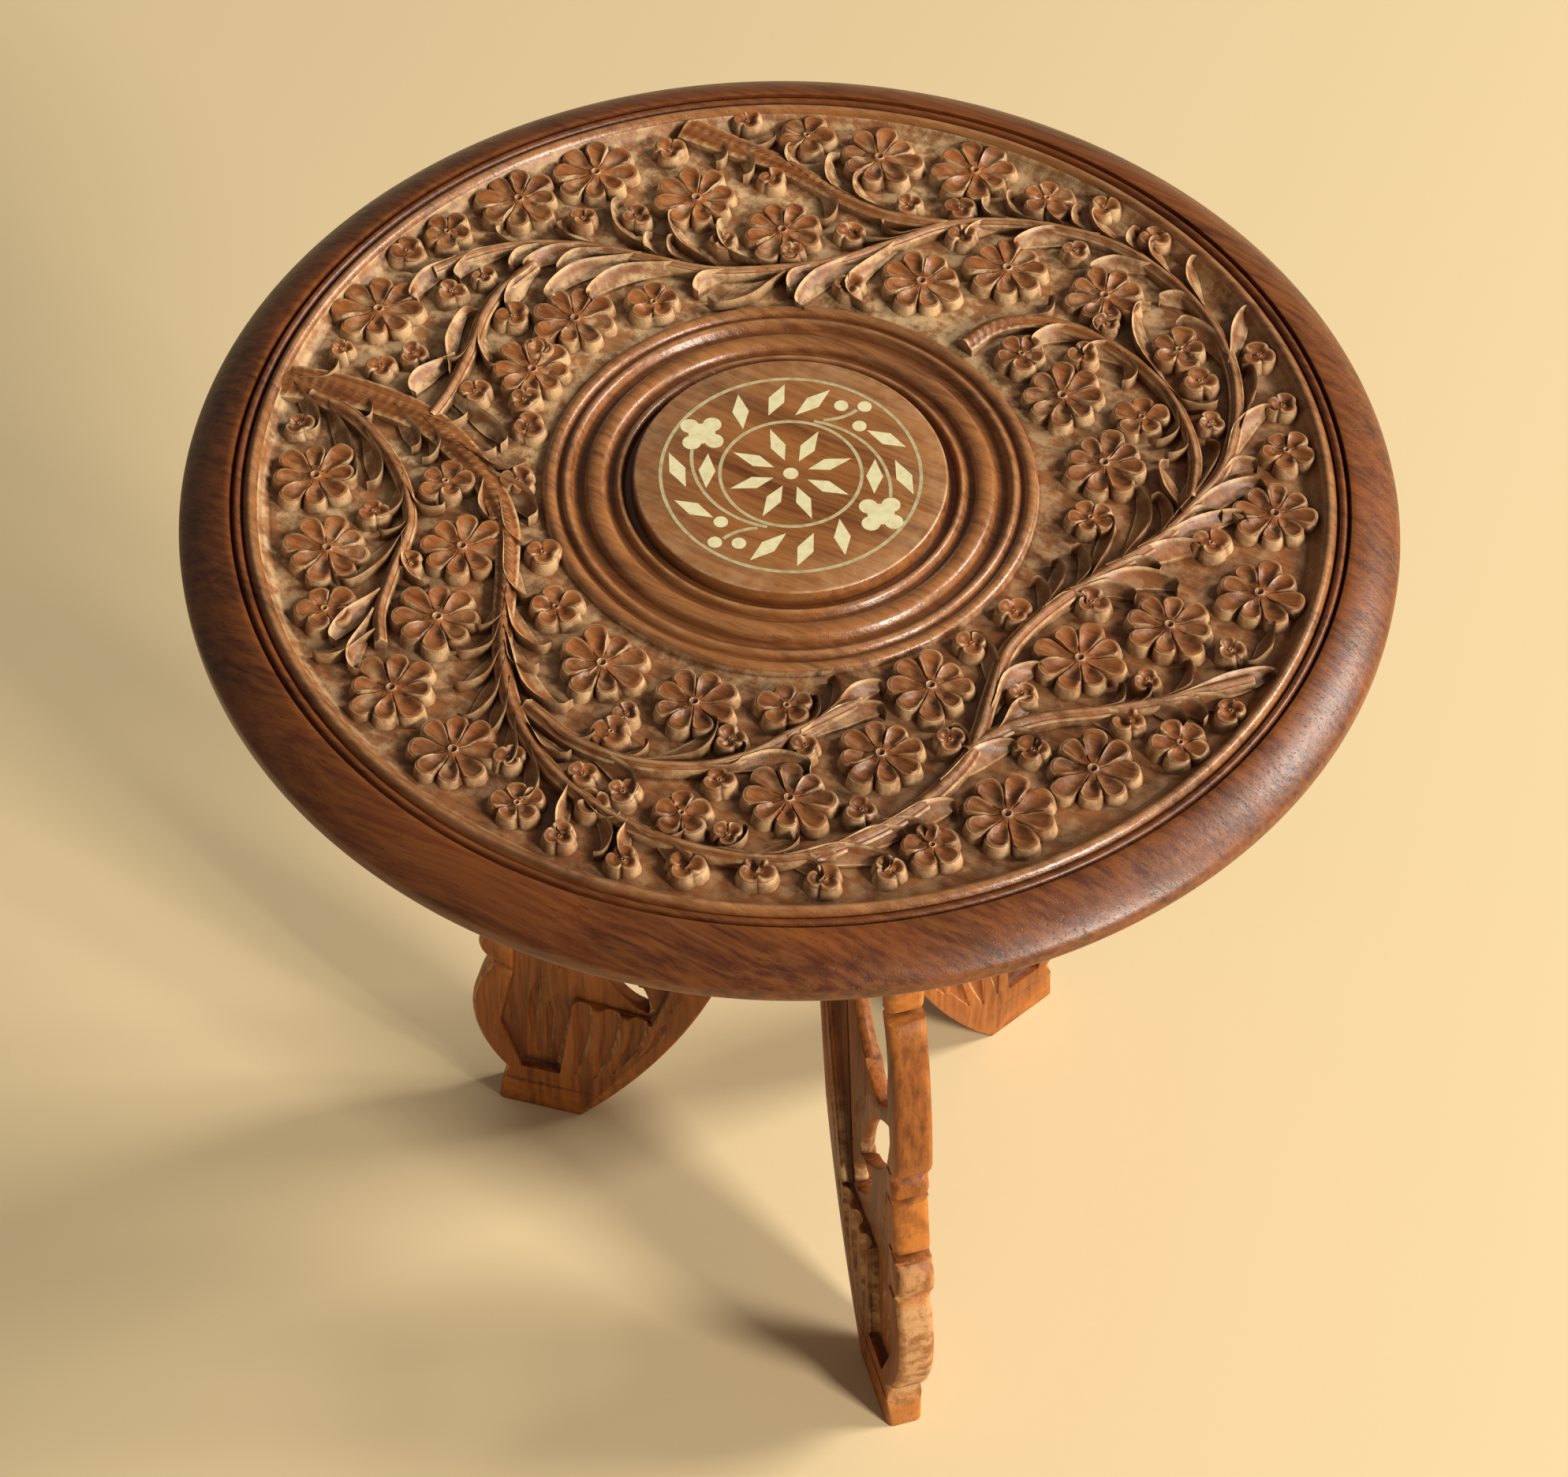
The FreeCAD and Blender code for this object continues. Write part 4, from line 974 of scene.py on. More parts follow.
@dataclass
class TurnedProfile:
    """The profile of the turned board, from its edge inwards."""

    radius: float = 152.5
    underside: float = 286.0
    underside_rings: Point = (60.0, 120.0)
    level: float = 298.0
    edge_round: float = 1.5
    edge_rise: float = 0.43
    edge_band: float = 2.9
    band_ease: Point = (0.5, 0.1)
    slope_width: float = 12.7
    slope_drop: float = 0.3
    slope_crown: float = 1.1
    slope_ease: Point = (0.25, 0.12)
    quirk_width: float = 1.2
    quirk_depth: float = 2.1
    bead_width: float = 6.0
    bead_shoulder: float = 1.5
    lip_width: float = 1.7
    lip_drop: float = 0.9
    lip_crown: float = 0.6
    lip_quirk: float = 0.9
    wall_run: float = 2.8
    wall_top: Point = (0.3, 0.6)
    wall_foot: Point = (0.8, 0.7)
    field_depth: float = 4.6
    ground_rings: int = 62
    ground_gap: float = 0.4
    # Turned rings from the outside in: ridge width, ridge drop, groove width, groove depth
    rings: Tuple[Tuple[float, float, float, float], ...] = (
        (3.1, 2.3, 1.5, 3.9),
        (2.3, 2.4, 3.8, 4.6),
        (4.6, 2.0, 2.6, 4.2),
        (2.0, 2.4, 2.6, 4.4),
    )
    ridge_shoulder: float = 0.8
    # Section of a groove: share of its width, height over its bottom
    groove_shape: Tuple[Point, ...] = ((0.22, 0.12), (0.5, 0.0), (0.78, 0.12))
    medallion_radius: float = 39.3
    # Edge of the medallion: inset, drop below its face
    medallion_edge: Tuple[Point, ...] = ((0.0, 0.55), (0.2, 0.18), (0.7, 0.0))
    medallion_ring: float = 18.0
    inlay_proud: float = 0.05
    # Limits of the zones: over the underside, inside the lip, past the walls of the sunk ring
    rim_rise: float = 1.0
    rim_reach: float = 0.6
    zone_ease: float = 0.1

    def __post_init__(self) -> None:
        """Work out the levels and rings that the profile and the relief share."""
        self.ground = self.level - self.field_depth
        self.ring_outer = self.medallion_radius + sum(ridge + groove for ridge, _, groove, _ in self.rings)
        self.bead_outer = self.radius - self.slope_width - self.quirk_width
        self.field_outer = self.bead_outer - self.bead_width

    def zone(self, radius: float, height: float) -> Zone:
        """Find the zone of a spot on the board.

        Args:
            radius: its distance from the middle.
            height: its height.

        Returns:
            The zone.
        """
        lip = self.bead_outer - self.lip_width - self.rim_reach
        if height < self.underside + self.rim_rise or radius > lip:
            return Zone.RIM
        sunk = self.ring_outer + self.zone_ease < radius < self.field_outer + self.zone_ease
        return Zone.CARVED if sunk else Zone.TURNED

    @staticmethod
    def arc(start: Point, end: Point, rise: float, steps: int) -> List[Point]:
        """Points of a shallow arch from start to end, without the start.

        Args:
            start: first point.
            end: last point.
            rise: height of the arch over the straight line, to its right.
            steps: number of points to return.

        Returns:
            The points after the start.
        """
        run_x, run_y = end[0] - start[0], end[1] - start[1]
        length = math.hypot(run_x, run_y)
        points = []
        for index in range(1, steps + 1):
            share = index / steps
            lift = rise * math.sin(math.pi * share) ** 0.8 if share < 1.0 else 0.0
            x = start[0] + run_x * share + lift * run_y / length
            y = start[1] + run_y * share - lift * run_x / length
            points.append((x, y))
        return points

    def points(self) -> List[Point]:
        """Follow the whole profile.

        Returns:
            Radius and height, from the middle underneath to the middle on top.
        """
        points = self.rim() + self.bead()
        foot = self.field_outer - self.wall_run
        wall_level = self.level - self.bead_shoulder - self.wall_top[1]
        points.append((self.field_outer - self.wall_top[0], wall_level))
        points.append((foot + self.wall_foot[0], self.ground + self.wall_foot[1]))
        points.append((foot, self.ground))
        step = (foot - self.ring_outer - self.ground_gap) / self.ground_rings
        points += [(foot - step * index, self.ground) for index in range(1, self.ground_rings + 1)]
        points += self.ridges()
        face = self.level - self.inlay_proud
        points += [(self.medallion_radius - inset, face - drop) for inset, drop in self.medallion_edge]
        points += [(self.medallion_ring, face), (0.0, face)]
        return points

    def rim(self) -> List[Point]:
        """The underside, the edge and the slope of the rim, down into its quirk.

        Returns:
            Radius and height of each point.
        """
        points = [(ring, self.underside) for ring in (0.0, *self.underside_rings)]
        points.append((self.radius - self.edge_round, self.underside))
        low_edge = self.underside + self.edge_round
        points += self.arc(points[-1], (self.radius, low_edge), self.edge_rise * self.edge_round, 4)
        band_top = low_edge + self.edge_band
        points.append((self.radius, band_top - self.band_ease[0]))
        ease, ease_drop = self.slope_ease
        start = (self.radius - ease, band_top + self.band_ease[1])
        end = (self.radius - self.slope_width, self.level - self.slope_drop - ease)
        points.append(start)
        points += self.arc(start, end, self.slope_crown, 12)
        points.append((end[0] - ease, end[1] - ease_drop))
        points.append((end[0] - self.quirk_width / 2.0, self.level - self.quirk_depth))
        return points

    def bead(self) -> List[Point]:
        """The narrow lip, its quirk and the bead beside the sunk ring.

        Returns:
            Radius and height of each point.
        """
        shoulder = self.level - self.bead_shoulder
        start = (self.bead_outer, shoulder)
        end = (self.bead_outer - self.lip_width, self.level - self.lip_drop)
        points = [start] + self.arc(start, end, self.lip_crown, 6)
        points.append((end[0] - self.lip_quirk / 2.0, self.level - self.quirk_depth))
        points.append((end[0] - self.lip_quirk, shoulder))
        return points + self.arc(points[-1], (self.field_outer, shoulder), self.bead_shoulder, 10)

    def ridges(self) -> List[Point]:
        """The turned rings between the carved ground and the medallion, from the outside in.

        Returns:
            Radius and height of each point.
        """
        points: List[Point] = []
        ring = self.ring_outer
        for ridge, drop, groove, depth in self.rings:
            shoulder = self.level - drop - self.ridge_shoulder
            points.append((ring, shoulder))
            points += self.arc((ring, shoulder), (ring - ridge, shoulder), self.ridge_shoulder, 8)
            ring -= ridge
            bottom = self.level - depth
            points += [(ring - groove * share, bottom + rise) for share, rise in self.groove_shape]
            ring -= groove
        return points


@dataclass(frozen=True)
class BloomShape:
    """Shape of a carved flower: rings and ranges in shares of its radius, heights of the relief."""

    rings: Tuple[float, ...] = (
        (0.0, 0.05, 0.10, 0.14, 0.19, 0.30, 0.44, 0.58, 0.72, 0.84, 0.93, 0.98, 1.0, 1.03)
    )
    # Past this ring a point is the foot, which stands out by the flare in millimetres
    last_ring: float = 1.01
    flare: float = 0.90
    petal_steps: int = 12
    full_petals: float = 7.0
    # Uneven hand work: reach, lift in millimetres, lean of a petal, tilt of the whole
    reach: Point = (0.84, 1.07)
    lift: Point = (-0.60, 0.20)
    skew: float = 0.30
    lean: float = 0.4
    tilt: float = 0.05
    notch: float = 0.24
    notch_power: float = 2.6
    spread_range: Point = (0.14, 0.6)
    middle: float = 0.66
    rise: float = 0.34
    rise_range: Point = (0.16, 0.72)
    fall: float = 0.20
    fall_range: Point = (0.86, 1.0)
    scoop: float = 0.34
    scoop_start: Point = (0.2, 0.45)
    scoop_end: Point = (0.78, 0.98)
    cut: float = 0.30
    cut_sides: Point = (0.78, 1.0)
    cut_start: Point = (0.14, 0.3)
    boss: float = 0.14
    boss_range: Point = (0.10, 0.16)
    pit: float = 0.30
    pit_range: Point = (0.0, 0.10)

    def height(self, ring: float, side: float, skew: float, fine: float) -> float:
        """Height of a petal over the ground.

        Args:
            ring: distance from the middle of the flower.
            side: place across the petal, from -1 to 1.
            skew: how far the petal leans.
            fine: strength of the cuts, less on a bud.

        Returns:
            The height as a share of the relief.
        """
        across = abs(side)
        dish = self.middle + self.rise * smoothstep(*self.rise_range, ring)
        dish -= self.fall * smoothstep(*self.fall_range, ring)
        inside = smoothstep(*self.scoop_start, ring) * (1.0 - smoothstep(*self.scoop_end, ring))
        slant = skew * side * inside
        scoop = self.scoop * fine * (1.0 - across * across) * inside
        cut = self.cut * fine * smoothstep(*self.cut_sides, across) * smoothstep(*self.cut_start, ring)
        boss = self.boss * (1.0 - smoothstep(*self.boss_range, ring))
        boss -= self.pit * (1.0 - smoothstep(*self.pit_range, ring))
        return dish - cut - scoop + boss * fine + slant * self.lean


@dataclass(frozen=True)
class LeafShape:
    """Shape of a carved leaf: shares of its length and of its width, heights of the relief."""

    swell: float = 0.98
    root: float = 0.30
    full: float = 0.36
    close: float = 0.96
    closing: Point = (0.28, 0.92)
    low_edge: float = 0.20
    hollow: float = 1.7
    fall: float = 0.16
    fall_start: float = 0.70
    hook_turn: float = 1.15
    hook_share: float = 0.34
    length_steps: int = 18
    width_steps: int = 8

    def half_width(self, width: float, share: float) -> float:
        """Narrow on the stem, full before the middle, drawn to a point."""
        swell = self.root + (1.0 - self.root) * smoothstep(0.0, self.full, share)
        return 0.5 * self.swell * width * swell * (1.0 - self.close * smoothstep(*self.closing, share))

    def height(self, share: float, slope: float) -> float:
        """High and sharp where slope is 1, the outer edge of the bend, hollowed towards the other."""
        crest = self.low_edge + (1.0 - self.low_edge) * slope**self.hollow
        return crest * (1.0 - self.fall * smoothstep(self.fall_start, 1.0, share))


@dataclass(frozen=True)
class StemShape:
    """Shape of a carved stem: places across it in shares of its half width, heights of the relief."""

    crown: float = 0.99
    round_off: float = 0.38
    line: float = 0.10
    line_place: float = 0.55
    line_width: float = 0.14
    scale_pitch: float = 2.8
    scale_lean: float = 0.8
    scale_rise: float = 0.07
    # Half widths in millimetres between which the scales set in
    scale_range: Point = (1.9, 2.8)
    step: float = 0.7
    width_steps: int = 12

    def height(self, run: float, side: float, half_width: float) -> float:
        """Round on top, with a cut line near each edge and small scales where it is broad.

        Args:
            run: distance along the stem.
            side: place across the stem, from -1 to 1.
            half_width: half its width there.

        Returns:
            The height as a share of the relief.
        """
        crown = self.crown - self.round_off * side * side
        line = self.line * math.exp(-(((abs(side) - self.line_place) / self.line_width) ** 2))
        wave = run / self.scale_pitch + self.scale_lean * abs(side)
        scales = self.scale_rise * (wave % 1.0) * smoothstep(*self.scale_range, half_width)
        return crown - line - scales


@dataclass(frozen=True)
class SprigRule:
    """How small leaves feather out of the stems: spacing, size and the room they need."""

    gap: float = 7.0
    length: Point = (8.0, 12.5)
    width: Point = (2.8, 4.0)
    root: float = 0.8
    # Along and across the stem, in shares of the length
    middle: Point = (0.58, 0.34)
    tip: Point = (0.84, 0.78)
    look_ahead: float = 0.2
    clear: float = 2.4
    bloom_clear: float = 1.2
    leaf_clear: float = 1.6
    ring_clear: Point = (3.0, 4.5)


@dataclass
class CarvedTop:
    """The turned board, with the relief that stands in its sunk ring."""

    finishes: Finishes
    turned: TurnedProfile = field(default_factory=TurnedProfile)
    bloom: BloomShape = BloomShape()
    leaf: LeafShape = LeafShape()
    stem: StemShape = StemShape()
    sprig: SprigRule = SprigRule()
    relief: float = 3.9
    rooted: float = 0.8
    # Hand-cut ground: kept clear of its two edges, slow roll, single tool marks
    ground_clear: Point = (0.6, 0.2)
    ground_fit: float = 0.01
    roll_scale: float = 0.11
    roll_height: float = 0.35
    punch: Point = (-0.22, 0.16)
    board_steps: int = 480
    board_sharp: float = 42.0
    bloom_sharp: float = 38.0
    blade_sharp: float = 34.0
    seed: int = 11

    def __post_init__(self) -> None:
        """Start the seeded draws and find the level that the relief is rooted in."""
        self.random = random.Random(self.seed)
        self.foot = (self.turned.ground - self.rooted) * MM

    def build(self) -> List[bpy.types.Object]:
        """Build and dress the board and its relief.

        Returns:
            The pieces, which all ride on the top.
        """
        board = self.board()
        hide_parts("table_top")
        pieces = [board, self.stems(), self.leaves()]
        pieces.append(self.blooms("carved_flowers", {Bloom.LARGE: FLOWERS, Bloom.SMALL: SMALL_FLOWERS}))
        pieces.append(self.blooms("carved_buds", {Bloom.BUD: BUDS}))
        for piece in pieces:
            dress(piece, self.finishes.carved)
            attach(piece, Body.TOP.value)
        self.dress_zones(board)
        return pieces

    def dress_zones(self, board: bpy.types.Object) -> None:
        """Give the rim and the turned rings their own finish.

        Args:
            board: the board, dressed as carved.
        """
        board.data.materials.append(self.finishes.rim)
        board.data.materials.append(self.finishes.turned)
        zones = []
        for polygon in board.data.polygons:
            centre = polygon.center / MM
            zones.append(self.turned.zone(math.hypot(centre.x, centre.y), centre.z).value)
        board.data.polygons.foreach_set("material_index", zones)

    def lifted(self, share: float) -> float:
        """Height in metres of a share of the relief over the ground."""
        return (self.turned.ground + self.relief * share) * MM

    def board(self) -> bpy.types.Object:
        """The turned board, with a hand-cut, stippled ground.

        Returns:
            The piece.
        """
        bm = bmesh.new()
        profile = [(radius * MM, height * MM) for radius, height in self.turned.points()]
        verts = spin_profile(bm, profile, self.board_steps)
        inner = self.turned.ring_outer + self.ground_clear[0]
        outer = self.turned.field_outer - self.turned.wall_run - self.ground_clear[1]
        for vert in verts:
            radius = math.hypot(vert.co.x, vert.co.y) / MM
            if inner < radius < outer and abs(vert.co.z / MM - self.turned.ground) < self.ground_fit:
                roll = noise.noise(vert.co / MM * self.roll_scale) * self.roll_height
                vert.co.z += (roll + self.random.uniform(*self.punch)) * MM
        return make_object("carved_board", bm, self.board_sharp)

    def blooms(self, name: str, beds: Dict[Bloom, Sequence[Triple]]) -> bpy.types.Object:
        """Several kinds of flower as one piece.

        Args:
            name: name of the piece.
            beds: place and radius of every flower of each kind.

        Returns:
            The piece.
        """
        bm = bmesh.new()
        for kind, bed in beds.items():
            for x, y, radius in bed:
                self._flower(bm, x, y, radius, kind.value)
        return make_object(name, bm, self.bloom_sharp)

    def _flower(self, bm: bmesh.types.BMesh, x: float, y: float, radius: float, petals: int) -> None:
        """Add one flower or bud, with scooped petals cut apart by grooves.

        Args:
            bm: the bmesh that takes the flower.
            x: place of the flower.
            y: place of the flower.
            radius: reach of its petals.
            petals: number of petals.
        """
        shape, draw = self.bloom, self.random.uniform
        flower = bmesh.new()
        spin_profile(flower, [(ring, 0.0) for ring in shape.rings], petals * shape.petal_steps)
        fine = min(1.0, petals / shape.full_petals)
        turn = draw(0.0, math.tau)
        reach = [draw(*shape.reach) for _ in range(petals)]
        lift = [draw(*shape.lift) for _ in range(petals)]
        skew = [draw(-shape.skew, shape.skew) for _ in range(petals)]
        tilt = Vector((draw(-shape.tilt, shape.tilt), draw(-shape.tilt, shape.tilt)))
        for vert in flower.verts:
            ring = math.hypot(vert.co.x, vert.co.y)
            angle = math.atan2(vert.co.y, vert.co.x) % math.tau
            place = angle / math.tau * petals
            petal = int(place) % petals
            side = 2.0 * (place - int(place)) - 1.0
            outline = (1.0 - shape.notch * abs(side) ** shape.notch_power) * reach[petal]
            spread = smoothstep(*shape.spread_range, ring)
            size = radius * ring * (1.0 + (outline - 1.0) * spread)
            is_foot = ring > shape.last_ring
            if is_foot:
                size += shape.flare
            local = Vector((size * math.cos(angle + turn), size * math.sin(angle + turn)))
            height = self.relief * shape.height(ring, side, skew[petal], fine)
            height += lift[petal] * spread
            height += tilt.dot(local)
            if is_foot:
                height = -self.rooted
            vert.co = Vector((x + local.x, y + local.y, self.turned.ground + height)) * MM
        bmesh.ops.edgeloop_fill(flower, edges=[edge for edge in flower.edges if edge.is_boundary])
        bmesh.ops.recalc_face_normals(flower, faces=flower.faces)
        mesh = bpy.data.meshes.new("flower")
        flower.to_mesh(mesh)
        flower.free()
        bm.from_mesh(mesh)
        bpy.data.meshes.remove(mesh)

    def leaves(self) -> bpy.types.Object:
        """All leaves and stalks: hooked, hollowed blades with one high edge.

        Returns:
            The piece.
        """
        bm = bmesh.new()
        shape = self.leaf
        for tip, middle, root, width in list(LEAVES) + self.sprigs():
            points = [flat(root), flat(middle), flat(tip)]
            last = points[2] - points[1]
            bend = 1.0 if (points[1] - points[0]).cross(last).z > 0.0 else -1.0
            hook = Matrix.Rotation(bend * shape.hook_turn, 3, "Z") @ last
            points.append(points[2] + hook * shape.hook_share)

            def half_width(share: float, width: float = width) -> float:
                """Half the width of the blade."""
                return shape.half_width(width, share) * MM

            def height(share: float, side: float, bend: float = bend) -> float:
                """Height of the blade, highest on the outer edge of its bend."""
                return self.lifted(shape.height(share, 0.5 - 0.5 * side * bend))

            def path(share: float, points: List[Vector] = points) -> Vector:
                """Follow the middle of the blade."""
                return curve_point(points, share) * MM

            Ribbon(path, half_width, height, self.foot, shape.length_steps, shape.width_steps).build(bm)
        drop_slivers(bm)
        return make_object("carved_leaves", bm, self.blade_sharp)

    def sprigs(self) -> List[Stroke]:
        """Small leaves that feather out of the stems wherever there is room.

        Returns:
            Tip, middle, root and width of each leaf, as in the layout.
        """
        rule = self.sprig
        blooms = FLOWERS + SMALL_FLOWERS + BUDS
        taken = [(flat((x, y)), radius + rule.bloom_clear) for x, y, radius in blooms]
        for tip, middle, _, width in LEAVES:
            taken += [(flat(spot), 0.5 * width + rule.leaf_clear) for spot in (tip, middle)]
        routes = [[flat(point) for point in points] for points, _, _ in STEMS]
        for route in routes:
            count = 8 * len(route)
            taken += [(curve_point(route, step / count), rule.clear) for step in range(count + 1)]
        nearest = self.turned.ring_outer + rule.ring_clear[0]
        farthest = self.turned.field_outer - rule.ring_clear[1]

        def free(spot: Vector) -> bool:
            """Whether a spot lies in the ring and clear of what is there."""
            inside = nearest < spot.length < farthest
            return inside and all((spot - place).length > reach for place, reach in taken)

        found = []
        for route in routes:
            count = int(run_length(route) / rule.gap)
            for step, side in ((step, side) for step in range(1, count) for side in (1.0, -1.0)):
                here = curve_point(route, step / count)
                ahead = (curve_point(route, (step + rule.look_ahead) / count) - here).normalized()
                across = Vector((-ahead.y, ahead.x, 0.0)) * side
                size = self.random.uniform(*rule.length)
                root = here + across * rule.root
                middle = here + ahead * size * rule.middle[0] + across * size * rule.middle[1]
                tip = here + ahead * size * rule.tip[0] + across * size * rule.tip[1]
                if free(middle) and free(tip):
                    width = self.random.uniform(*rule.width)
                    found.append((tuple(tip.xy), tuple(middle.xy), tuple(root.xy), width))
                    taken += [(middle, rule.clear), (tip, rule.clear)]
        return found

    def stems(self) -> bpy.types.Object:
        """All stems: rounded bands with a line cut along each side.

        Returns:
            The piece.
        """
        bm = bmesh.new()
        shape = self.stem
        for points, start_width, end_width in STEMS:
            route = [flat(point) for point in points]
            length = run_length(route)

            def half_width(share: float, start: float = start_width, end: float = end_width) -> float:
                """Taper quickly at first, then slowly."""
                return 0.5 * (end + (start - end) * (1.0 - share) ** 2) * MM

            def height(
                share: float,
                side: float,
                length: float = length,
                broad: Callable[[float], float] = half_width,
            ) -> float:
                """Height of the band."""
                return self.lifted(shape.height(share * length, side, broad(share) / MM))

            def path(share: float, route: List[Vector] = route) -> Vector:
                """Follow the middle of the stem."""
                return curve_point(route, share) * MM

            steps = int(length / shape.step)
            Ribbon(path, half_width, height, self.foot, steps, shape.width_steps).build(bm)
        drop_slivers(bm)
        return make_object("carved_stems", bm, self.blade_sharp)


# The legs


@dataclass
class LegPanel:
    """One pierced leg panel with gouge cuts on both faces."""

    node: str
    body: Body
    frame: Matrix
    finishes: Finishes
    thickness: float = 10.6
    web: float = 4.6
    edge_round: float = 0.9
    edge_segments: int = 2
    outer_round: float = 2.2
    outer_segments: int = 4
    # Gouge cuts: depth per width, clearance of the cutter, start over the face, blunt end, run-out
    cut_share: float = 0.34
    cut_clear: float = 1.2
    cut_start: float = 0.06
    cut_open: float = 0.16
    cut_taper: float = 0.35
    cut_least: float = 0.02
    cut_length_steps: int = 18
    cut_width_steps: int = 10
    # How far a face turns: to the panel's face, along its edge, to the outside
    flat_facing: float = 0.999
    side_facing: float = 0.02
    outer_facing: float = 0.55
    worn_facing: float = 0.45
    merge_gap: float = 0.001
    merge_deg: float = 1.0
    sharp_deg: float = 32.0

    def __post_init__(self) -> None:
        """Find which way the panel reaches out and which way it faces."""
        self.outward = self.frame.to_3x3() @ Vector((1.0, 0.0, 0.0))
        self.face_normal = self.frame.to_3x3() @ Vector((0.0, 1.0, 0.0))

    def build(self, cad: bpy.types.Object) -> bpy.types.Object:
        """Build and dress the panel.

        Args:
            cad: the plain panel, which gives the outline.

        Returns:
            The carved panel.
        """
        blank = self.blank(cad)
        cutter = self.cutter()
        cut = blank.modifiers.new("gouge cuts", "BOOLEAN")
        cut.operation = "DIFFERENCE"
        cut.solver = "EXACT"
        cut.object = cutter
        graph = bpy.context.evaluated_depsgraph_get()
        mesh = bpy.data.meshes.new_from_object(blank.evaluated_get(graph))
        bpy.data.objects.remove(blank)
        bpy.data.objects.remove(cutter)
        bm = bmesh.new()
        bm.from_mesh(mesh)
        bpy.data.meshes.remove(mesh)
        self.ease_edges(bm)
        piece = make_object("carved_" + self.node, bm, self.sharp_deg)
        dress(piece, self.finishes.leg)
        piece.data.materials.append(self.finishes.worn)
        polygons = piece.data.polygons
        worn = [int(polygon.normal.dot(self.outward) > self.worn_facing) for polygon in polygons]
        polygons.foreach_set("material_index", worn)
        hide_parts(self.node)
        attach(piece, self.body.value)
        return piece

    def blank(self, cad: bpy.types.Object) -> bpy.types.Object:
        """A merged copy of the plain panel.

        Args:
            cad: the plain panel.

        Returns:
            The copy.
        """
        bm = bmesh.new()
        bm.from_mesh(cad.data)
        bmesh.ops.remove_doubles(bm, verts=bm.verts, dist=self.merge_gap * MM)
        limit = math.radians(self.merge_deg)
        bmesh.ops.dissolve_limit(bm, angle_limit=limit, verts=bm.verts, edges=bm.edges)
        return make_object("blank_" + self.node, bm, self.sharp_deg)

    def ease_edges(self, bm: bmesh.types.BMesh) -> None:
        """Round the edges of the outline, most of all those that face outwards.

        Args:
            bm: the cut panel.
        """
        outer, inner = [], []
        for edge in bm.edges:
            if len(edge.link_faces) != 2:
                continue
            turns = {face: abs(face.normal.dot(self.face_normal)) for face in edge.link_faces}
            face, side = sorted(edge.link_faces, key=lambda linked: -turns[linked])
            if turns[face] > self.flat_facing and turns[side] < self.side_facing:
                (outer if side.normal.dot(self.outward) > self.outer_facing else inner).append(edge)
        rounds = (
            (outer, self.outer_round, self.outer_segments),
            (inner, self.edge_round, self.edge_segments),
        )
        for edges, round_off, segments in rounds:
            bmesh.ops.bevel(
                bm,
                geom=[edge for edge in edges if edge.is_valid],
                offset=round_off * MM,
                offset_type="OFFSET",
                segments=segments,
                profile=0.5,
                affect="EDGES",
                clamp_overlap=False,
                material=-1,
            )
        drop_slivers(bm)
        bmesh.ops.recalc_face_normals(bm, faces=bm.faces)

    def cutter(self) -> bpy.types.Object:
        """All gouge cuts of both faces as one solid cutter.

        Returns:
            The cutter.
        """
        bm = bmesh.new()
        cuts = [(cut, self.thickness) for cut in GOUGES] + [(cut, self.web) for cut in WEB_GOUGES]
        for side in (1.0, -1.0):
            for cut, level in cuts:
                out = side * level / 2.0 * MM
                face = Matrix(((1, 0, 0, 0), (0, 0, side, out), (0, 1, 0, 0), (0, 0, 0, 1)))
                bmesh.ops.transform(bm, matrix=self.frame @ face, verts=self._cut(bm, cut))
        bmesh.ops.recalc_face_normals(bm, faces=bm.faces)
        return make_object("cutter_" + self.node, bm, self.sharp_deg)

    def _cut(self, bm: bmesh.types.BMesh, cut: Stroke) -> List[bmesh.types.BMVert]:
        """Add one hollow gouge cut, flat on the XY plane and deepest below it.

        Args:
            bm: the bmesh that takes the cutter.
            cut: start, middle and end as reach and height, and the full width.

        Returns:
            The vertices of the cutter.
        """
        points = [flat(point) for point in cut[:3]]
        width = cut[3]

        def half_width(share: float) -> float:
            """Blunt at the start, drawn out to the end."""
            open_up = math.sqrt(min(1.0, share / self.cut_open + self.cut_least))
            taper = smoothstep(self.cut_taper, 1.0, share) * (1.0 - self.cut_least)
            run_out = math.sqrt(max(self.cut_least, 1.0 - taper))
            return 0.5 * width * open_up * run_out * MM

        def height(share: float, side: float) -> float:
            """Hollow across the cut."""
            depth = self.cut_share * 2.0 * half_width(share) + self.cut_start * MM
            return self.cut_start * MM - depth * math.sqrt(max(0.0, 1.0 - side * side))

        def path(share: float) -> Vector:
            """Follow the middle of the cut."""
            return curve_point(points, share) * MM

        steps = (self.cut_length_steps, self.cut_width_steps)
        return Ribbon(path, half_width, height, self.cut_clear * MM, *steps).build(bm)


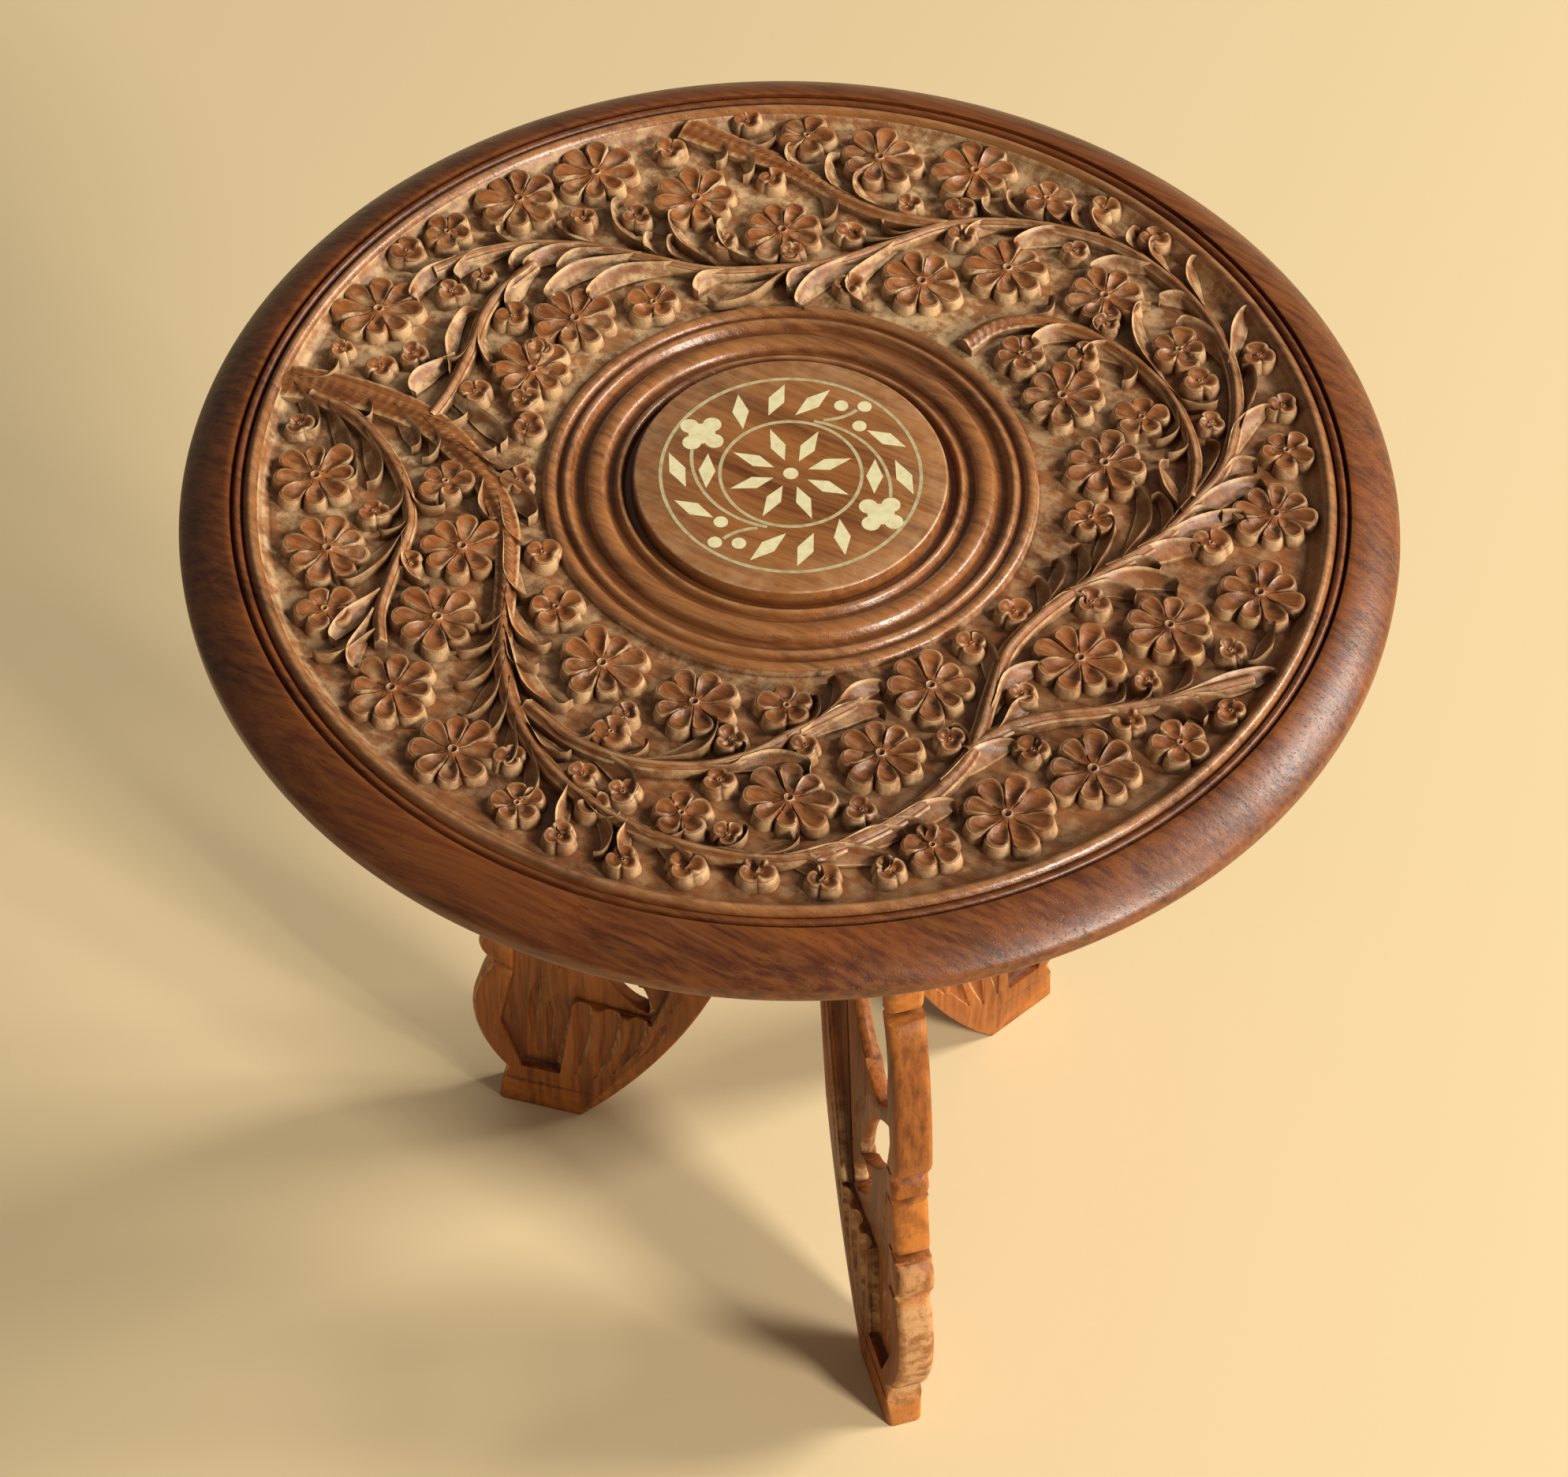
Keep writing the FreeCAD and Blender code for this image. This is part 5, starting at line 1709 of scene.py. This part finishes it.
@dataclass
class LegSet:
    """The three leg panels and their hinges."""

    frame: Dict[str, object]
    finishes: Finishes
    pin_setback: float = 2.2
    pin_offset: float = 5.6

    def panel_frames(self) -> Dict[Body, Matrix]:
        """Find where each panel's hinge edge stands and which way it points, from the hinge pins.

        Returns:
            The frame of each panel: reach along X, face along Y.
        """
        joints = {joint["name"]: joint for joint in self.frame["joints"]}
        left = Vector(joints["left_fold"]["pos_m"])
        right = Vector(joints["right_fold"]["pos_m"])
        left.z = right.z = 0.0
        across = (right - left).normalized()
        along = Vector((across.y, -across.x, 0.0))
        base = (left + right) / 2.0 + along * self.pin_setback * MM
        front = Matrix.Translation(base) @ Matrix((along, across, (0, 0, 1))).transposed().to_4x4()
        frames = {Body.FRONT: front}
        sides = ((Body.LEFT, left, "left_fold", -1.0), (Body.RIGHT, right, "right_fold", 1.0))
        for body, pin, name, side in sides:
            opened = side * math.radians(joints[name]["range_deg"][1])
            swing = Matrix.Translation(pin) @ Matrix.Rotation(opened, 4, "Z") @ Matrix.Translation(-pin)
            apart = Matrix.Translation((0.0, side * 2.0 * self.pin_offset * MM, 0.0))
            frames[body] = swing @ front @ apart
        return frames

    def build(self) -> List[bpy.types.Object]:
        """Build the panels and dress the hinges.

        Returns:
            The carved panels.
        """
        nodes = self.frame["nodes"]
        frames = self.panel_frames()
        pieces = []
        for node, body in (("front_leg", Body.FRONT), ("left_leg", Body.LEFT), ("right_leg", Body.RIGHT)):
            pieces.append(LegPanel(node, body, frames[body], self.finishes).build(nodes[node]))
        for name, node in nodes.items():
            if "hinge" in name or name.endswith("screws"):
                dress(node, self.finishes.brass)
        return pieces


@dataclass
class Inlay:
    """The inlaid wires and pale pieces of the medallion, kept as they are and dressed."""

    frame: Dict[str, object]
    finishes: Finishes
    pale: Tuple[str, ...] = (
        ("centre_dot", "star_lozenges", "border_lozenges", "quatrefoils", "border_dots")
    )
    wires: Tuple[str, ...] = ("outer_ring_wire", "inner_ring_wire", "vine_wires", "branch_wires")

    def build(self) -> None:
        """Dress every inlaid piece."""
        for names, finish in ((self.pale, self.finishes.pale), (self.wires, self.finishes.wire)):
            for name in names:
                dress(self.frame["nodes"][name], finish)


# The studio


@dataclass(frozen=True)
class Lamp:
    """A square area lamp: place and side in metres, power in watts."""

    name: str
    place: Triple
    side: float
    power: float
    colour: Triple

    def build(self, aim: Vector) -> None:
        """Add the lamp.

        Args:
            aim: the point that it faces, in metres.
        """
        data = bpy.data.lights.new(self.name, "AREA")
        data.shape = "SQUARE"
        data.size = self.side
        data.energy = self.power
        data.color = self.colour
        lamp = bpy.data.objects.new(self.name, data)
        lamp.location = self.place
        lamp.rotation_euler = (aim - Vector(self.place)).to_track_quat("-Z", "Y").to_euler()
        bpy.context.scene.collection.objects.link(lamp)


@dataclass
class Studio:
    """Plain pale floor, soft light from the right and the camera; lengths are metres."""

    floor_colour: Colour = (0.840, 0.665, 0.385, 1.0)
    floor_roughness: float = 0.7
    floor_half: float = 4.0
    lamps: Tuple[Lamp, ...] = (
        Lamp("front_window", (2.35, -1.83, 1.72), 0.66, 102.0, (1.0, 0.94, 0.84)),
        Lamp("side_window", (2.75, 0.58, 2.10), 0.95, 94.0, (1.0, 0.95, 0.87)),
    )
    lamp_aim: Triple = (0.0, 0.0, 0.25)
    surround_colour: Colour = (1.0, 0.95, 0.87, 1.0)
    surround_strength: float = 0.15
    camera_place: Triple = (0.0, -0.6907, 1.0509)
    camera_aim: Triple = (-0.00037, -0.0848, 0.298)
    camera_roll: float = 0.0191
    sensor_width: float = 36.0
    lens: float = 93.94

    def build(self) -> None:
        """Set up the floor, the lights and the camera."""
        self.floor()
        self.lights()
        self.camera()
        bpy.context.scene.view_settings.view_transform = "Standard"

    def floor(self) -> None:
        """Lay the floor and give it a plain pale finish."""
        bm = bmesh.new()
        bmesh.ops.create_grid(bm, x_segments=2, y_segments=2, size=self.floor_half)
        floor = make_object("floor", bm)
        material, sketch, shader = start_material("plain pale floor")
        sketch.feed(shader, Base_Color=self.floor_colour, Roughness=self.floor_roughness)
        dress(floor, material)

    def lights(self) -> None:
        """Two large soft lamps on the right and a weak pale surround."""
        for lamp in self.lamps:
            lamp.build(Vector(self.lamp_aim))
        world = bpy.data.worlds.new("pale surround")
        bpy.context.scene.world = world
        world.use_nodes = True
        background = world.node_tree.nodes["Background"]
        background.inputs["Color"].default_value = self.surround_colour
        background.inputs["Strength"].default_value = self.surround_strength

    def camera(self) -> None:
        """Place the camera at the photograph's view."""
        place, aim = Vector(self.camera_place), Vector(self.camera_aim)
        ahead = (aim - place).normalized()
        level = ahead.cross(Vector((0, 0, 1))).normalized()
        above = level.cross(ahead)
        cos, sin = math.cos(self.camera_roll), math.sin(self.camera_roll)
        right = level * cos + above * sin
        upward = above * cos - level * sin
        data = bpy.data.cameras.new("camera")
        data.sensor_fit = "HORIZONTAL"
        data.sensor_width = self.sensor_width
        data.lens = self.lens
        camera = bpy.data.objects.new("camera", data)
        turn = Matrix((right, upward, -ahead)).transposed().to_4x4()
        camera.matrix_world = Matrix.Translation(place) @ turn
        bpy.context.scene.collection.objects.link(camera)
        bpy.context.scene.camera = camera


def main() -> None:
    """Load the frame, build every sub-assembly in order and report the pieces."""
    logging.basicConfig(level=logging.INFO, format="%(name)s: %(message)s")
    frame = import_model()
    finishes = Finishes()
    Studio().build()
    Inlay(frame, finishes).build()
    pieces = CarvedTop(finishes).build() + LegSet(frame, finishes).build()
    for piece in pieces:
        LOG.info("%s: %d faces", piece.name, len(piece.data.polygons))


if __name__ == "__main__":
    main()
